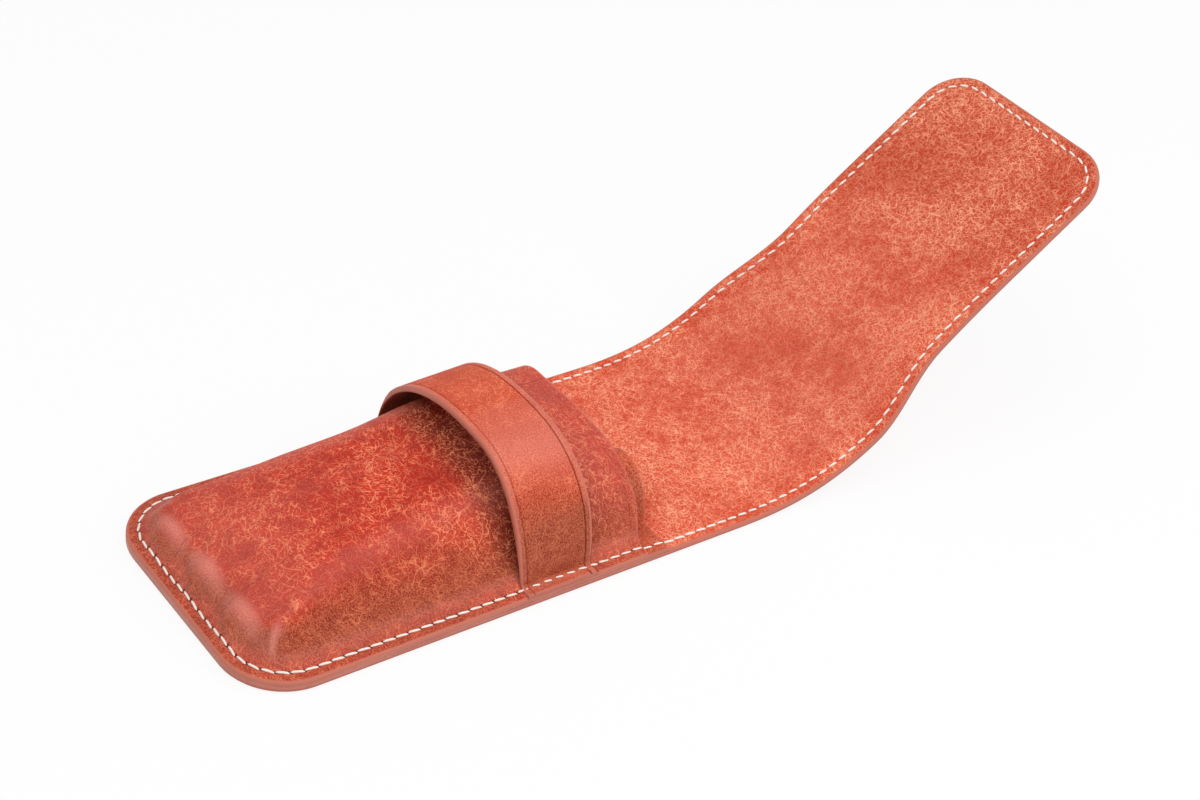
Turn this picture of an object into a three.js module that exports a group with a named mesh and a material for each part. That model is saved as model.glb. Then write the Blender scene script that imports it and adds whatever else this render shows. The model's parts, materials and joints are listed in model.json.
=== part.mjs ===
// Flap pen case in moulded leather: a lined back that runs on as a folding flap, a moulded front
// panel with a sewn flange, a strap that holds the flap's tongue, and a divider with pen channels.
// Millimetres, +Z up. The case lies on its back with the flap half open. The origin is the middle
// of the back's flat face, and +X runs from the bottom end to the mouth and on along the flap.
import * as THREE from 'three';
import { mergeVertices } from 'three/addons/utils/BufferGeometryUtils.js';

// Outline of the case, laid flat
const CASE_WIDTH = 79;
const BODY_LENGTH = 123.2; // bottom end to the mouth
const FLAP_LENGTH = 182.8; // mouth to the flap's end, along the leather
const BOTTOM_CORNER_RADIUS = 17.5;
const FLAP_CORNER_RADIUS = 13.5;
const TONGUE_WIDTH = 68.4; // passes between the strap's two seams
const SHOULDER_START = 79; // past the mouth, where the flap begins to narrow
const SHOULDER_LENGTH = 32;

// Leather thicknesses, and the glue line left between two layers
const OUTER_THICKNESS = 1.1;
const LINING_THICKNESS = 0.9;
const DIVIDER_THICKNESS = 0.5;
const FRONT_THICKNESS = 0.9;
const STRAP_THICKNESS = 1.4;
const GLUE_LINE = 0.2;

// Set of the open flap: it lifts through a long bend, then eases back a little
const BEND_START = 25; // past the mouth
const BEND_LENGTH = 73;
const BEND_ANGLE = 43.5; // degrees
const EASE_LENGTH = 45;
const EASE_ANGLE = 6; // degrees

// Folds of the flap, past the mouth, and the slit that lets the leather turn there
const LOWER_FOLD = 40;
const UPPER_FOLD = 76;
const FOLD_SLIT = 0.8;

// Moulded hump of the front panel
const FLANGE_WIDTH = 6.5; // long sides
const END_FLANGE_WIDTH = 5.2; // bottom end
const HUMP_HEIGHT = 22.2; // above the flange
const END_WALL_HEIGHT = 5; // steep wall at the bottom end, below the long slope
const END_WALL_RUN = 2; // how far in it has mostly risen
const HUMP_RISE_LENGTH = 20; // how gently the slope rises from there
const MOUTH_DROP = 2; // lower at the mouth than at its highest
const HUMP_CORNER_RADIUS = 12;
const HUMP_FULLNESS = 3.3; // power of the section: 2 is a parabola, more is boxier

// Strap across the front
const STRAP_WIDTH = 22.4;
const STRAP_TO_MOUTH = 20.5; // strap's upper edge to the mouth
const STRAP_CLEARANCE = 5; // over the hump, at the lower edge
const STRAP_FLARE = 4; // extra clearance at the upper edge, where the tongue goes in
const STRAP_SEAM_WIDTH = 4;
const STRAP_FULLNESS = 3.8;

// Pen divider
const CHANNEL_COUNT = 3;
const CHANNEL_SIDE_ROOM = 6; // hump's foot to the outer channel's share of the width
const CHANNEL_GAP = 1.4; // between neighbouring channels
const CLIP_ROOM = 5.4; // over the channels, for the pens' clips
const CHANNEL_FULLNESS = 2.4; // power of the section: 2 is an ellipse, more is boxier
const CHANNEL_START = 11.2; // from the bottom end
const CHANNEL_RISE_LENGTH = 40;
const CHANNEL_MARGIN = 2; // flat leather left beside the outer channels
const DIVIDER_REACH = 4.4; // past the mouth

// Facets
const CORNER_STEPS = 7;
const SHOULDER_STEPS = 8;
const BEND_STEP = 6; // millimetres of leather per facet
const HUMP_RISE_STEPS = 12;
const HUMP_LENGTH_STEPS = 10;
const HUMP_ARC_STEPS = 26;
const STRAP_WIDTH_STEPS = 3;
const STRAP_ARC_STEPS = 30;
const CHANNEL_ARC_STEPS = 10;
const CHANNEL_RISE_STEPS = 8;
const SLOPE_STEP = 0.05; // millimetres, for slopes taken by difference

// Levels of the stack, from the face that the case lies on
const LINING_BASE = OUTER_THICKNESS + GLUE_LINE;
const LINING_TOP = LINING_BASE + LINING_THICKNESS;
const DIVIDER_BASE = LINING_TOP + GLUE_LINE;
const FRONT_BASE = DIVIDER_BASE + DIVIDER_THICKNESS + GLUE_LINE;
const FLANGE_TOP = FRONT_BASE + FRONT_THICKNESS;
const STRAP_BASE = FLANGE_TOP + GLUE_LINE;

const HALF_WIDTH = CASE_WIDTH / 2;
const HUMP_WIDTH = CASE_WIDTH - 2 * FLANGE_WIDTH;
const CHANNEL_PITCH = (HUMP_WIDTH - 2 * CHANNEL_SIDE_ROOM) / CHANNEL_COUNT;
const CHANNEL_WIDTH = CHANNEL_PITCH - CHANNEL_GAP;
const MOUTH_ROOF = FLANGE_TOP + HUMP_HEIGHT - MOUTH_DROP - FRONT_THICKNESS; // inside, at the mouth
const CHANNEL_HEIGHT = MOUTH_ROOF - CLIP_ROOM - DIVIDER_BASE - DIVIDER_THICKNESS;
const STRIP_LENGTH = BODY_LENGTH + FLAP_LENGTH;

const smoothStep = (value) => THREE.MathUtils.smoothstep(value, 0, 1);

// Numbers from first to last in equal steps, both ends included
function evenly(first, last, steps) {
  return Array.from({ length: steps + 1 }, (_, i) => THREE.MathUtils.lerp(first, last, i / steps));
}

// Stations along a round corner of the given radius, closer together where it turns across
function cornerStations(radius) {
  return evenly(0, Math.PI / 2, CORNER_STEPS).map((angle) => radius * (1 - Math.cos(angle)));
}

// How far a round corner has opened at a distance from the edge that it starts on
function cornerOpening(distance, radius) {
  const short = Math.max(radius - distance, 0);
  return Math.sqrt(radius ** 2 - short ** 2) - radius;
}

// Half the strip's width at a distance along it from the bottom end
function stripHalfWidth(along) {
  const shoulder = smoothStep((along - BODY_LENGTH - SHOULDER_START) / SHOULDER_LENGTH);
  const half = THREE.MathUtils.lerp(HALF_WIDTH, TONGUE_WIDTH / 2, shoulder);
  const bottom = cornerOpening(along, BOTTOM_CORNER_RADIUS);
  const end = cornerOpening(STRIP_LENGTH - along, FLAP_CORNER_RADIUS);
  return half + bottom + end;
}

// Upward turn of the strip, in radians, at a distance along it
function stripTurn(along) {
  const bent = along - BODY_LENGTH - BEND_START;
  const lift = BEND_ANGLE * smoothStep(bent / BEND_LENGTH);
  const ease = EASE_ANGLE * smoothStep((bent - BEND_LENGTH) / EASE_LENGTH);
  return THREE.MathUtils.degToRad(lift - ease);
}

// Point of the strip's outer face on the middle line, summed up along the bend
const TURN_STEP = 0.25;
const stripLine = [new THREE.Vector3()];
for (let along = 0; along < STRIP_LENGTH; along += TURN_STEP) {
  const turn = stripTurn(along + TURN_STEP / 2);
  const step = new THREE.Vector3(Math.cos(turn), 0, Math.sin(turn)).multiplyScalar(TURN_STEP);
  stripLine.push(stripLine.at(-1).clone().add(step));
}

function stripPoint(along, across, height) {
  const index = Math.min(Math.floor(along / TURN_STEP), stripLine.length - 2);
  const point = stripLine[index].clone().lerp(stripLine[index + 1], along / TURN_STEP - index);
  const turn = stripTurn(along);
  return point.add(new THREE.Vector3(-Math.sin(turn) * height, across, Math.cos(turn) * height));
}

// A sheet of leather: a box cut into a grid, whose points are carried to their places. The place
// function is given a station along, a station across, and 0 for the under face or 1 for the upper.
function sheet(name, colour, alongStations, acrossStations, place) {
  const alongSteps = alongStations.length - 1;
  const acrossSteps = acrossStations.length - 1;
  const box = new THREE.BoxGeometry(1, 1, 1, alongSteps, acrossSteps, 1);
  box.deleteAttribute('normal');
  box.deleteAttribute('uv');
  const geometry = mergeVertices(box);
  const points = geometry.getAttribute('position');
  for (let i = 0; i < points.count; i += 1) {
    const along = alongStations[Math.round((points.getX(i) + 0.5) * alongSteps)];
    const across = acrossStations[Math.round((points.getY(i) + 0.5) * acrossSteps)];
    const point = place(along, across, Math.round(points.getZ(i) + 0.5));
    points.setXYZ(i, point.x, point.y, point.z);
  }
  geometry.computeVertexNormals();
  const material = new THREE.MeshStandardMaterial({ color: colour, roughness: 0.55, metalness: 0 });
  const mesh = new THREE.Mesh(geometry, material);
  mesh.name = name;
  return mesh;
}

// Stations along the strip between two cuts: corners, bend and shoulder
function stripStations(first, last) {
  const shoulder = BODY_LENGTH + SHOULDER_START;
  const bend = BODY_LENGTH + BEND_START;
  const all = [
    first,
    last,
    ...cornerStations(BOTTOM_CORNER_RADIUS),
    ...cornerStations(FLAP_CORNER_RADIUS).map((distance) => STRIP_LENGTH - distance),
    ...evenly(shoulder, shoulder + SHOULDER_LENGTH, SHOULDER_STEPS),
    ...evenly(bend, STRIP_LENGTH, Math.ceil((STRIP_LENGTH - bend) / BEND_STEP)),
  ];
  const inside = all.filter((along) => along >= first && along <= last).sort((a, b) => a - b);
  return inside.filter((along, i) => i === 0 || along - inside[i - 1] > TURN_STEP || along === last);
}

// One length of the strip, between two cuts, at one level of the stack
function stripLengthOf(name, colour, first, last, base, thickness) {
  return sheet(name, colour, stripStations(first, last), [-1, 1], (along, side, upper) =>
    stripPoint(along, side * stripHalfWidth(along), base + upper * thickness));
}

// A surface given by its height, thickened by a wall measured square to it. Returns the point on
// the upper face, or on the under face one wall thickness in.
function walled(height, x, y, wall, upper) {
  const point = new THREE.Vector3(x, y, height(x, y));
  if (upper) return point;
  const slopeX = (height(x + SLOPE_STEP, y) - height(x - SLOPE_STEP, y)) / (2 * SLOPE_STEP);
  const slopeY = (height(x, y + SLOPE_STEP) - height(x, y - SLOPE_STEP)) / (2 * SLOPE_STEP);
  const normal = new THREE.Vector3(-slopeX, -slopeY, 1).normalize();
  return point.addScaledVector(normal, -wall);
}

// Hump of the front panel: its half width and its height over the flange along the case
function humpHalfWidth(x) {
  const inside = Math.max(x - END_FLANGE_WIDTH, 0);
  return HUMP_WIDTH / 2 + cornerOpening(inside, HUMP_CORNER_RADIUS);
}

function humpTop(x) {
  const inside = Math.max(x - END_FLANGE_WIDTH, 0);
  const wall = END_WALL_HEIGHT * (1 - Math.exp(-inside / END_WALL_RUN));
  const slope = (HUMP_HEIGHT - END_WALL_HEIGHT) * (1 - Math.exp(-inside / HUMP_RISE_LENGTH));
  const peak = BODY_LENGTH - STRAP_TO_MOUTH - STRAP_WIDTH;
  return wall + slope - MOUTH_DROP * smoothStep((x - peak) / (BODY_LENGTH - peak));
}

function frontHeight(x, y) {
  const share = Math.min(Math.abs(y) / humpHalfWidth(x), 1);
  return FLANGE_TOP + humpTop(x) * (1 - share ** HUMP_FULLNESS);
}

function makeFrontPanel() {
  const humpStations = cornerStations(HUMP_CORNER_RADIUS).map((d) => END_FLANGE_WIDTH + d);
  const riseEnd = END_FLANGE_WIDTH + HUMP_CORNER_RADIUS;
  const rise = evenly(riseEnd, riseEnd + 2 * HUMP_RISE_LENGTH, HUMP_RISE_STEPS).slice(1);
  const length = evenly(rise.at(-1), BODY_LENGTH, HUMP_LENGTH_STEPS).slice(1);
  const edge = cornerStations(BOTTOM_CORNER_RADIUS).filter((x) => x < END_FLANGE_WIDTH);
  // Across: -2 and 2 are the outer edges, -1 and 1 the foot of the hump
  const arc = evenly(-1, 1, HUMP_ARC_STEPS).map((v) => Math.sin((v * Math.PI) / 2));
  return sheet('front_panel', 0xb24a30, [...edge, ...humpStations, ...rise, ...length], [-2, ...arc, 2],
    (x, v, upper) => {
      const foot = Math.min(humpHalfWidth(x), stripHalfWidth(x));
      const y = Math.abs(v) > 1 ? Math.sign(v) * stripHalfWidth(x) : v * foot;
      if (Math.abs(v) >= 1 || x <= END_FLANGE_WIDTH) {
        return new THREE.Vector3(x, y, upper ? FLANGE_TOP : FRONT_BASE);
      }
      return walled(frontHeight, x, y, FRONT_THICKNESS, upper);
    });
}

// Strap: an arch over the hump, sewn down on both edges, a little higher at its upper edge
const STRAP_UPPER = BODY_LENGTH - STRAP_TO_MOUTH;
const STRAP_LOWER = STRAP_UPPER - STRAP_WIDTH;
const STRAP_FOOT = HALF_WIDTH - STRAP_SEAM_WIDTH;

function strapHeight(x, y) {
  const flare = STRAP_FLARE * ((x - STRAP_LOWER) / STRAP_WIDTH);
  const rise = FLANGE_TOP + humpTop(STRAP_LOWER) + STRAP_CLEARANCE + flare - STRAP_BASE;
  const share = Math.min(Math.abs(y) / STRAP_FOOT, 1);
  return STRAP_BASE + STRAP_THICKNESS + rise * (1 - share ** STRAP_FULLNESS);
}

function makeStrap() {
  const width = evenly(STRAP_LOWER, STRAP_UPPER, STRAP_WIDTH_STEPS);
  const arc = evenly(-1, 1, STRAP_ARC_STEPS).map((v) => Math.sin((v * Math.PI) / 2));
  return sheet('strap', 0xa8452c, width, [-2, ...arc, 2], (x, v, upper) => {
    const y = Math.abs(v) > 1 ? (Math.sign(v) * CASE_WIDTH) / 2 : v * STRAP_FOOT;
    if (Math.abs(v) >= 1) return new THREE.Vector3(x, y, STRAP_BASE + upper * STRAP_THICKNESS);
    const point = walled(strapHeight, x, y, STRAP_THICKNESS, upper);
    return point.setX(x);
  });
}

// Share of a channel's half width or height for the cosine or sine of an angle round it
function rounded(share) {
  return Math.sign(share) * Math.abs(share) ** (2 / CHANNEL_FULLNESS);
}

// Divider: one round channel for each pen, side by side, in a sheet sewn in with the front panel
function makeDivider() {
  const radius = CHANNEL_WIDTH / 2;
  const first = (-(CHANNEL_COUNT - 1) / 2) * CHANNEL_PITCH;
  const reach = radius + DIVIDER_THICKNESS - first;
  const across = [{ edge: -1 }];
  for (let channel = 0; channel < CHANNEL_COUNT; channel += 1) {
    const middle = first + channel * CHANNEL_PITCH;
    for (const angle of evenly(0, Math.PI, CHANNEL_ARC_STEPS)) across.push({ middle, angle });
  }
  across.push({ edge: 1 });
  const riseEnd = CHANNEL_START + CHANNEL_RISE_LENGTH;
  const corner = cornerStations(BOTTOM_CORNER_RADIUS).filter((x) => x < CHANNEL_START);
  const rise = evenly(CHANNEL_START, riseEnd, CHANNEL_RISE_STEPS);
  const stations = [...corner, ...rise, BODY_LENGTH, BODY_LENGTH + DIVIDER_REACH];
  return sheet('pen_divider', 0x9c3f28, stations, across, (x, place, upper) => {
    const level = DIVIDER_BASE + upper * DIVIDER_THICKNESS;
    if (place.edge) return new THREE.Vector3(x, place.edge * stripHalfWidth(x), level);
    const rising = smoothStep((x - CHANNEL_START) / CHANNEL_RISE_LENGTH);
    const squeeze = Math.min((stripHalfWidth(x) - CHANNEL_MARGIN) / reach, 1);
    const y = place.middle - (radius + upper * DIVIDER_THICKNESS) * rounded(Math.cos(place.angle));
    const z = level + CHANNEL_HEIGHT * rising * rounded(Math.sin(place.angle));
    return new THREE.Vector3(x, y * squeeze, z);
  });
}

// The two layers of the strip, each cut at the folds
const lowerCut = BODY_LENGTH + LOWER_FOLD;
const upperCut = BODY_LENGTH + UPPER_FOLD;
const halfSlit = FOLD_SLIT / 2;
const lengths = [
  { name: 'back', first: 0, last: lowerCut - halfSlit },
  { name: 'flap_spine', first: lowerCut + halfSlit, last: upperCut - halfSlit },
  { name: 'flap_tongue', first: upperCut + halfSlit, last: STRIP_LENGTH },
];
const layers = [
  { name: 'outer', colour: 0xa6452d, base: 0, thickness: OUTER_THICKNESS },
  { name: 'lining', colour: 0xc95f42, base: LINING_BASE, thickness: LINING_THICKNESS },
];

const laid = new THREE.Group();
laid.position.x = -BODY_LENGTH / 2;
for (const { name, first, last } of lengths) {
  for (const layer of layers) {
    const node = `${name}_${layer.name}`;
    laid.add(stripLengthOf(node, layer.colour, first, last, layer.base, layer.thickness));
  }
}
laid.add(makeFrontPanel(), makeStrap(), makeDivider());

const penCase = new THREE.Group();
penCase.add(laid);

export default penCase;
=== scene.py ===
"""Flap pen case in moulded leather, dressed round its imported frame.

Two long strips, outer and lining, are the back and the flap. A wet-moulded front panel, a pen
divider and a strap are sewn on them round the edge with one light thread. Metres, +Z up, in the
frame's own place: +X runs from the bottom end to the mouth and on along the flap.
"""
import json
import math
from typing import NamedTuple

import bpy
import numpy as np
from bpy.props import FloatProperty, FloatVectorProperty, PointerProperty
from mathutils import Matrix, Vector, noise


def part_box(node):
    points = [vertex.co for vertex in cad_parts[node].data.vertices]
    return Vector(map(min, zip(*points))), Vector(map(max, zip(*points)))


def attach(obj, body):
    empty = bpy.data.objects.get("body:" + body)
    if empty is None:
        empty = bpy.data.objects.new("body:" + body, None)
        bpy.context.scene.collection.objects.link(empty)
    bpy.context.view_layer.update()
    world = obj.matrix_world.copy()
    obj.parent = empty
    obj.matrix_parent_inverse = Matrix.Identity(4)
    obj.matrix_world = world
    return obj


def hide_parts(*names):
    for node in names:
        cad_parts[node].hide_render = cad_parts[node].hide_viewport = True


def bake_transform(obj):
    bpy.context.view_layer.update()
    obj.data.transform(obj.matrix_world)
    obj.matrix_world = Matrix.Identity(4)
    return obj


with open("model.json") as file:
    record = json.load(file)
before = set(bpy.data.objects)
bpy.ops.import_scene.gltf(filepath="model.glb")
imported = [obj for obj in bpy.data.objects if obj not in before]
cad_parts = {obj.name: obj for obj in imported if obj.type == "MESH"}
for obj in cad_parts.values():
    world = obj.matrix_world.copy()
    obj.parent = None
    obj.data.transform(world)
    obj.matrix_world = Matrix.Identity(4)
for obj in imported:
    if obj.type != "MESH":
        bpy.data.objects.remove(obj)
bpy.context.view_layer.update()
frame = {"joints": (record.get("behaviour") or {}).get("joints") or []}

bl_info = {
    "name": "Flap pen case",
    "version": (1, 0, 0),
    "blender": (4, 5, 0),
    "location": "3D View > Sidebar > Pen case",
    "description": "Models a moulded leather pen case with a flap, round its packed frame",
    "category": "Add Mesh",
}

MM = 0.001
BACK_LOW, BACK_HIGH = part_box("back_outer")
FRONT_LOW, FRONT_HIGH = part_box("front_panel")
STRAP_LOW, STRAP_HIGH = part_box("strap")
DIVIDER_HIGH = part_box("pen_divider")[1]
BOTTOM_END = BACK_LOW.x
DIVIDER_REACH = DIVIDER_HIGH.x - BOTTOM_END

# Maps and tones that the finishes read from each piece: brown walls, painted sheen with pale edges,
# painted shade in creases, and painted shade below the strap with other darkening
FLAT_MAP = "flat"
RIM_MAP = "rim"
TONES = ("wall", "bloom", "crease", "rubbed")

# Rows of points that follow the edge of a sheet, in from the edge, close together at edge and seam
SEAM_INSET = 3.15
BESIDE_EDGE = (0, 0.1, 0.3, 0.6, 1, 1.6)
BESIDE_SEAM = (-0.9, -0.5, -0.25, 0, 0.25, 0.5, 1, 1.8, 2.8)
EDGE_ROWS = [row * MM for row in (*BESIDE_EDGE, *(SEAM_INSET + row for row in BESIDE_SEAM))]
GROOVE_WIDTH = 0.6 * MM

# Steps in which a curve is measured and a fold is looked for, and the angle of an edge that stays sharp
GIRTH_STEPS = 80
FOLD_STEPS = 400
SHARP_EDGE = math.radians(50)


# Settings

def length(name, millimetres, description):
    """A size that a user may change, shown as a length."""
    return FloatProperty(name=name, description=description, default=millimetres * MM,
                         min=0, unit="LENGTH", precision=5)


def angle(name, degrees, description):
    """An angle that a user may change."""
    return FloatProperty(name=name, description=description, default=math.radians(degrees),
                         subtype="ANGLE")


def number(name, value, description):
    """A plain number that a user may change."""
    return FloatProperty(name=name, description=description, default=value, min=0)


def tint(name, red, green, blue, description):
    """A colour written as on a screen, from 0 to 255, and kept as linear light."""
    return FloatVectorProperty(name=name, description=description, subtype="COLOR", size=3,
                               min=0, max=1, default=[linear(part) for part in (red, green, blue)])


def linear(part):
    """Light of one part of a screen colour, by the sRGB curve."""
    share = part / 255
    return share / 12.92 if share <= 0.04045 else ((share + 0.055) / 1.055) ** 2.4


class CaseSizes(bpy.types.PropertyGroup):
    """Sizes of the cut leather, the moulding and the sewing."""

    width: length("Width", (BACK_HIGH.y - BACK_LOW.y) / MM, "Across the case")
    body_length: length("Body length", (FRONT_HIGH.x - FRONT_LOW.x) / MM, "Bottom end to mouth")
    flap_length: length("Flap length", 182.8, "Mouth to flap's end, along the leather")
    bottom_radius: length("Bottom corners", 17.5, "Radius of the corners at the bottom end")
    end_radius: length("Flap corners", 13.5, "Radius of the corners at the flap's end")
    tongue_width: length("Tongue width", 68.4, "Width of the flap where it goes under the strap")
    shoulder_start: length("Shoulder start", 79, "Past the mouth, where the flap begins to narrow")
    shoulder_length: length("Shoulder length", 32, "Length over which the flap narrows")
    bend_start: length("Bend start", 25, "Past the mouth, where the flap begins to lift")
    bend_length: length("Bend length", 73, "Length of the flap's long bend")
    bend_angle: angle("Bend", 43.5, "How far the flap lifts")
    ease_length: length("Ease length", 45, "Length over which the flap eases back")
    ease_angle: angle("Ease", 6, "How far the flap eases back")
    outer_thickness: length("Outer leather", 1.05, "Thickness of the outer strip")
    lining_thickness: length("Lining leather", 0.9, "Thickness of the lining strip")
    divider_thickness: length("Divider leather", 0.6, "Thickness of the pen divider")
    front_thickness: length("Front leather", 0.85, "Thickness of the front panel")
    strap_thickness: length("Strap leather", 1.8, "Thickness of the strap")
    edge_radius: length("Edge rounding", 0.8, "Rounding of the burnished edges")
    split: length("Split", 59, "Past the mouth, where a strip is divided between the two folds")
    fold_reach: length("Fold reach", 14, "Leather that turns on each side of a fold")
    stitch_pitch: length("Stitch pitch", 3.72, "Hole to hole along the seam")
    seam_inset: length("Seam inset", SEAM_INSET, "Seam line in from the edge")
    thread: length("Thread", 0.68, "Diameter of the sewing thread")
    hump_foot: length("Hump foot", 5, "Flange outside the moulded hump, long sides")
    hump_end: length("Hump end", 3.9, "Flange outside the moulded hump, bottom end")
    hump_height: length("Hump height", 22.2, "Moulded hump above the flange")
    hump_fullness: number("Hump fullness", 3.1, "Power of the hump's section")
    bottom_fullness: number("Bottom fullness", 2.4, "Power of the section's far side at the bottom end")
    mouth_fullness: number("Mouth fullness", 4.8, "Power of the section's far side at the mouth")
    hump_fillet: length("Hump fillet", 2.8, "Hollow curve from the flange into the walls")
    hump_lean: length("Hump lean", 7, "How far the soft hump leans to the far side at the mouth")
    end_wall: length("End wall", 4.2, "Height at which the hump's end wall turns into its long slope")
    end_slope: number("End wall slope", 1.9, "Rise of the end wall for its run")
    end_rise: length("Rise length", 21, "Length over which the hump comes up from its end wall")
    end_lump: length("End lumps", 2.3, "How far the channels' ends stand out of the end wall")
    mouth_drop: length("Mouth drop", 2.4, "How much lower the hump is at the mouth")
    mouth_slant: length("Mouth slant", 2.2, "How far the mouth's edge draws back at the flange")
    strap_low_rise: length("Strap, lower edge", 29.9, "Arch of the strap's lower edge")
    strap_high_rise: length("Strap, upper edge", 30.2, "Arch of the strap's upper edge")
    strap_foot: length("Strap foot", 3.9, "Strap sewn down flat on each edge of the case")
    strap_end: length("Strap ends", 0.5, "Thickness that the strap's sewn ends are pared to")
    crease_inset: length("Strap crease", 2.1, "Crease lines in from the strap's edges")
    channel_pitch: length("Channel pitch", 18, "Pen channel to pen channel")
    channel_width: length("Channel width", 16.6, "Width of one pen channel")
    channel_height: length("Channel height", 15, "Height of one pen channel")


class CaseColours(bpy.types.PropertyGroup):
    """Colours of the leather and the thread."""

    front_deep: tint("Front, deep", 168, 22, 8, "Dark red between the fibres of the front")
    front_mid: tint("Front, middle", 213, 52, 26, "Common colour of the front")
    front_fibre: tint("Front, fibres", 255, 154, 110, "Light curly fibres of the front")
    strap_deep: tint("Strap, deep", 190, 62, 38, "Darker grain of the strap")
    strap_mid: tint("Strap, middle", 232, 108, 78, "Lighter grain of the strap")
    lining_deep: tint("Lining, deep", 210, 66, 40, "Darker patches of the lining")
    lining_mid: tint("Lining, middle", 240, 101, 70, "Common colour of the lining")
    lining_fibre: tint("Lining, fibres", 255, 174, 138, "Light curly fibres of the lining")
    wall_deep: tint("Wall, deep", 122, 50, 32, "Dark pores on the moulded walls")
    wall_mid: tint("Wall, middle", 186, 100, 72, "Brownish orange of the moulded walls")
    # Painted pale-pink sheen and highlights on ridges and shoulders; the same pale colour lightens cut
    # edges and the flap's middle
    bloom: tint("Bloom", 238, 152, 136, "Pale pink where the leather is stretched")
    edge: tint("Edge", 200, 118, 99, "Burnished cut edges")
    edge_dark: tint("Edge, dark", 158, 82, 64, "Streaks of the burnished edges")
    # Painted shade below the strap; the same dark brown darkens the flap's end and the strap's steep
    # sides
    rubbed: tint("Rubbed", 104, 34, 16, "Dark brown where the flap rubs and the dye lies thick")
    # Painted shade in creases and stitch holes
    crease: tint("Crease", 84, 28, 20, "Creases and stitch holes")
    flesh: tint("Flesh side", 176, 88, 62, "Raw inner side of the leather")
    flesh_deep: tint("Flesh side, deep", 132, 58, 38, "Hollows of the raw inner side")
    thread: tint("Thread", 253, 250, 241, "Sewing thread")
    thread_shade: tint("Thread, shade", 237, 229, 214, "Darker plies of the thread")


class StageSettings(bpy.types.PropertyGroup):
    """Floor, light and camera."""

    floor: tint("Floor", 250, 250, 250, "Pale floor")
    floor_white: FloatProperty(name="Floor white", default=0.88, min=0, max=1, subtype="FACTOR",
                               description="How little of the shadow the camera sees")
    sky: number("Sky", 0.46, "Strength of the even light from all round")
    key: number("Key light", 4.9, "Power of the large lamp above, in watts")
    side_light: number("Side light", 3.2, "Power of the lamp at the near right, in watts")
    lens: FloatProperty(name="Lens", default=71.37, min=1, subtype="DISTANCE_CAMERA",
                        description="Focal length for a 36 mm sensor")
    azimuth: angle("Azimuth", -42.531, "Camera's turn round the case")
    elevation: angle("Elevation", 35.718, "Camera's height over the horizon")
    roll: angle("Roll", 10.307, "Tilt of the picture")
    distance: length("Distance", 656.2, "Camera to target")
    target: FloatVectorProperty(name="Target", default=(0.071423, 0.005047, 0.020), size=3,
                                subtype="TRANSLATION", description="Point in the picture's middle")


# Shapes

def smooth(value):
    """Eases from 0 to 1."""
    share = min(max(value, 0.0), 1.0)
    return share * share * (3 - 2 * share)


def between(ends, share):
    """A number or a wire at a share of the way between two."""
    return ends[0] + (ends[1] - ends[0]) * share


def bump(distance, width):
    """A soft ridge, 1 in the middle."""
    return math.exp(-((distance / width) ** 2))


def blend_low(first, second, reach):
    """The lower of two heights, with the corner between them rounded."""
    share = max(reach - abs(first - second), 0.0) / reach
    return min(first, second) - share * share * reach / 4


def soft_floor(height, reach):
    """A height that eases out to 0 instead of going below it."""
    return (height + math.sqrt(height * height + reach * reach)) / 2


def edge_drop(inset, radius):
    """How far a rounded edge has dropped at a distance in from the edge."""
    short = max(radius - inset, 0.0)
    return radius - math.sqrt(radius * radius - short * short)


def round_corner(first, second, radius):
    """Carries a square corner to a round one in rings. Takes a point's distances from the two edges,
    and returns its new distances and its angle round the corner, from the first edge."""
    inset = min(first, second)
    ring = radius - inset
    leg = (max(first, second) - inset) / ring
    turn = math.pi / 4 * (1 - leg if first < second else 1 + leg)
    return radius - ring * math.cos(turn), radius - ring * math.sin(turn), turn


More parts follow.
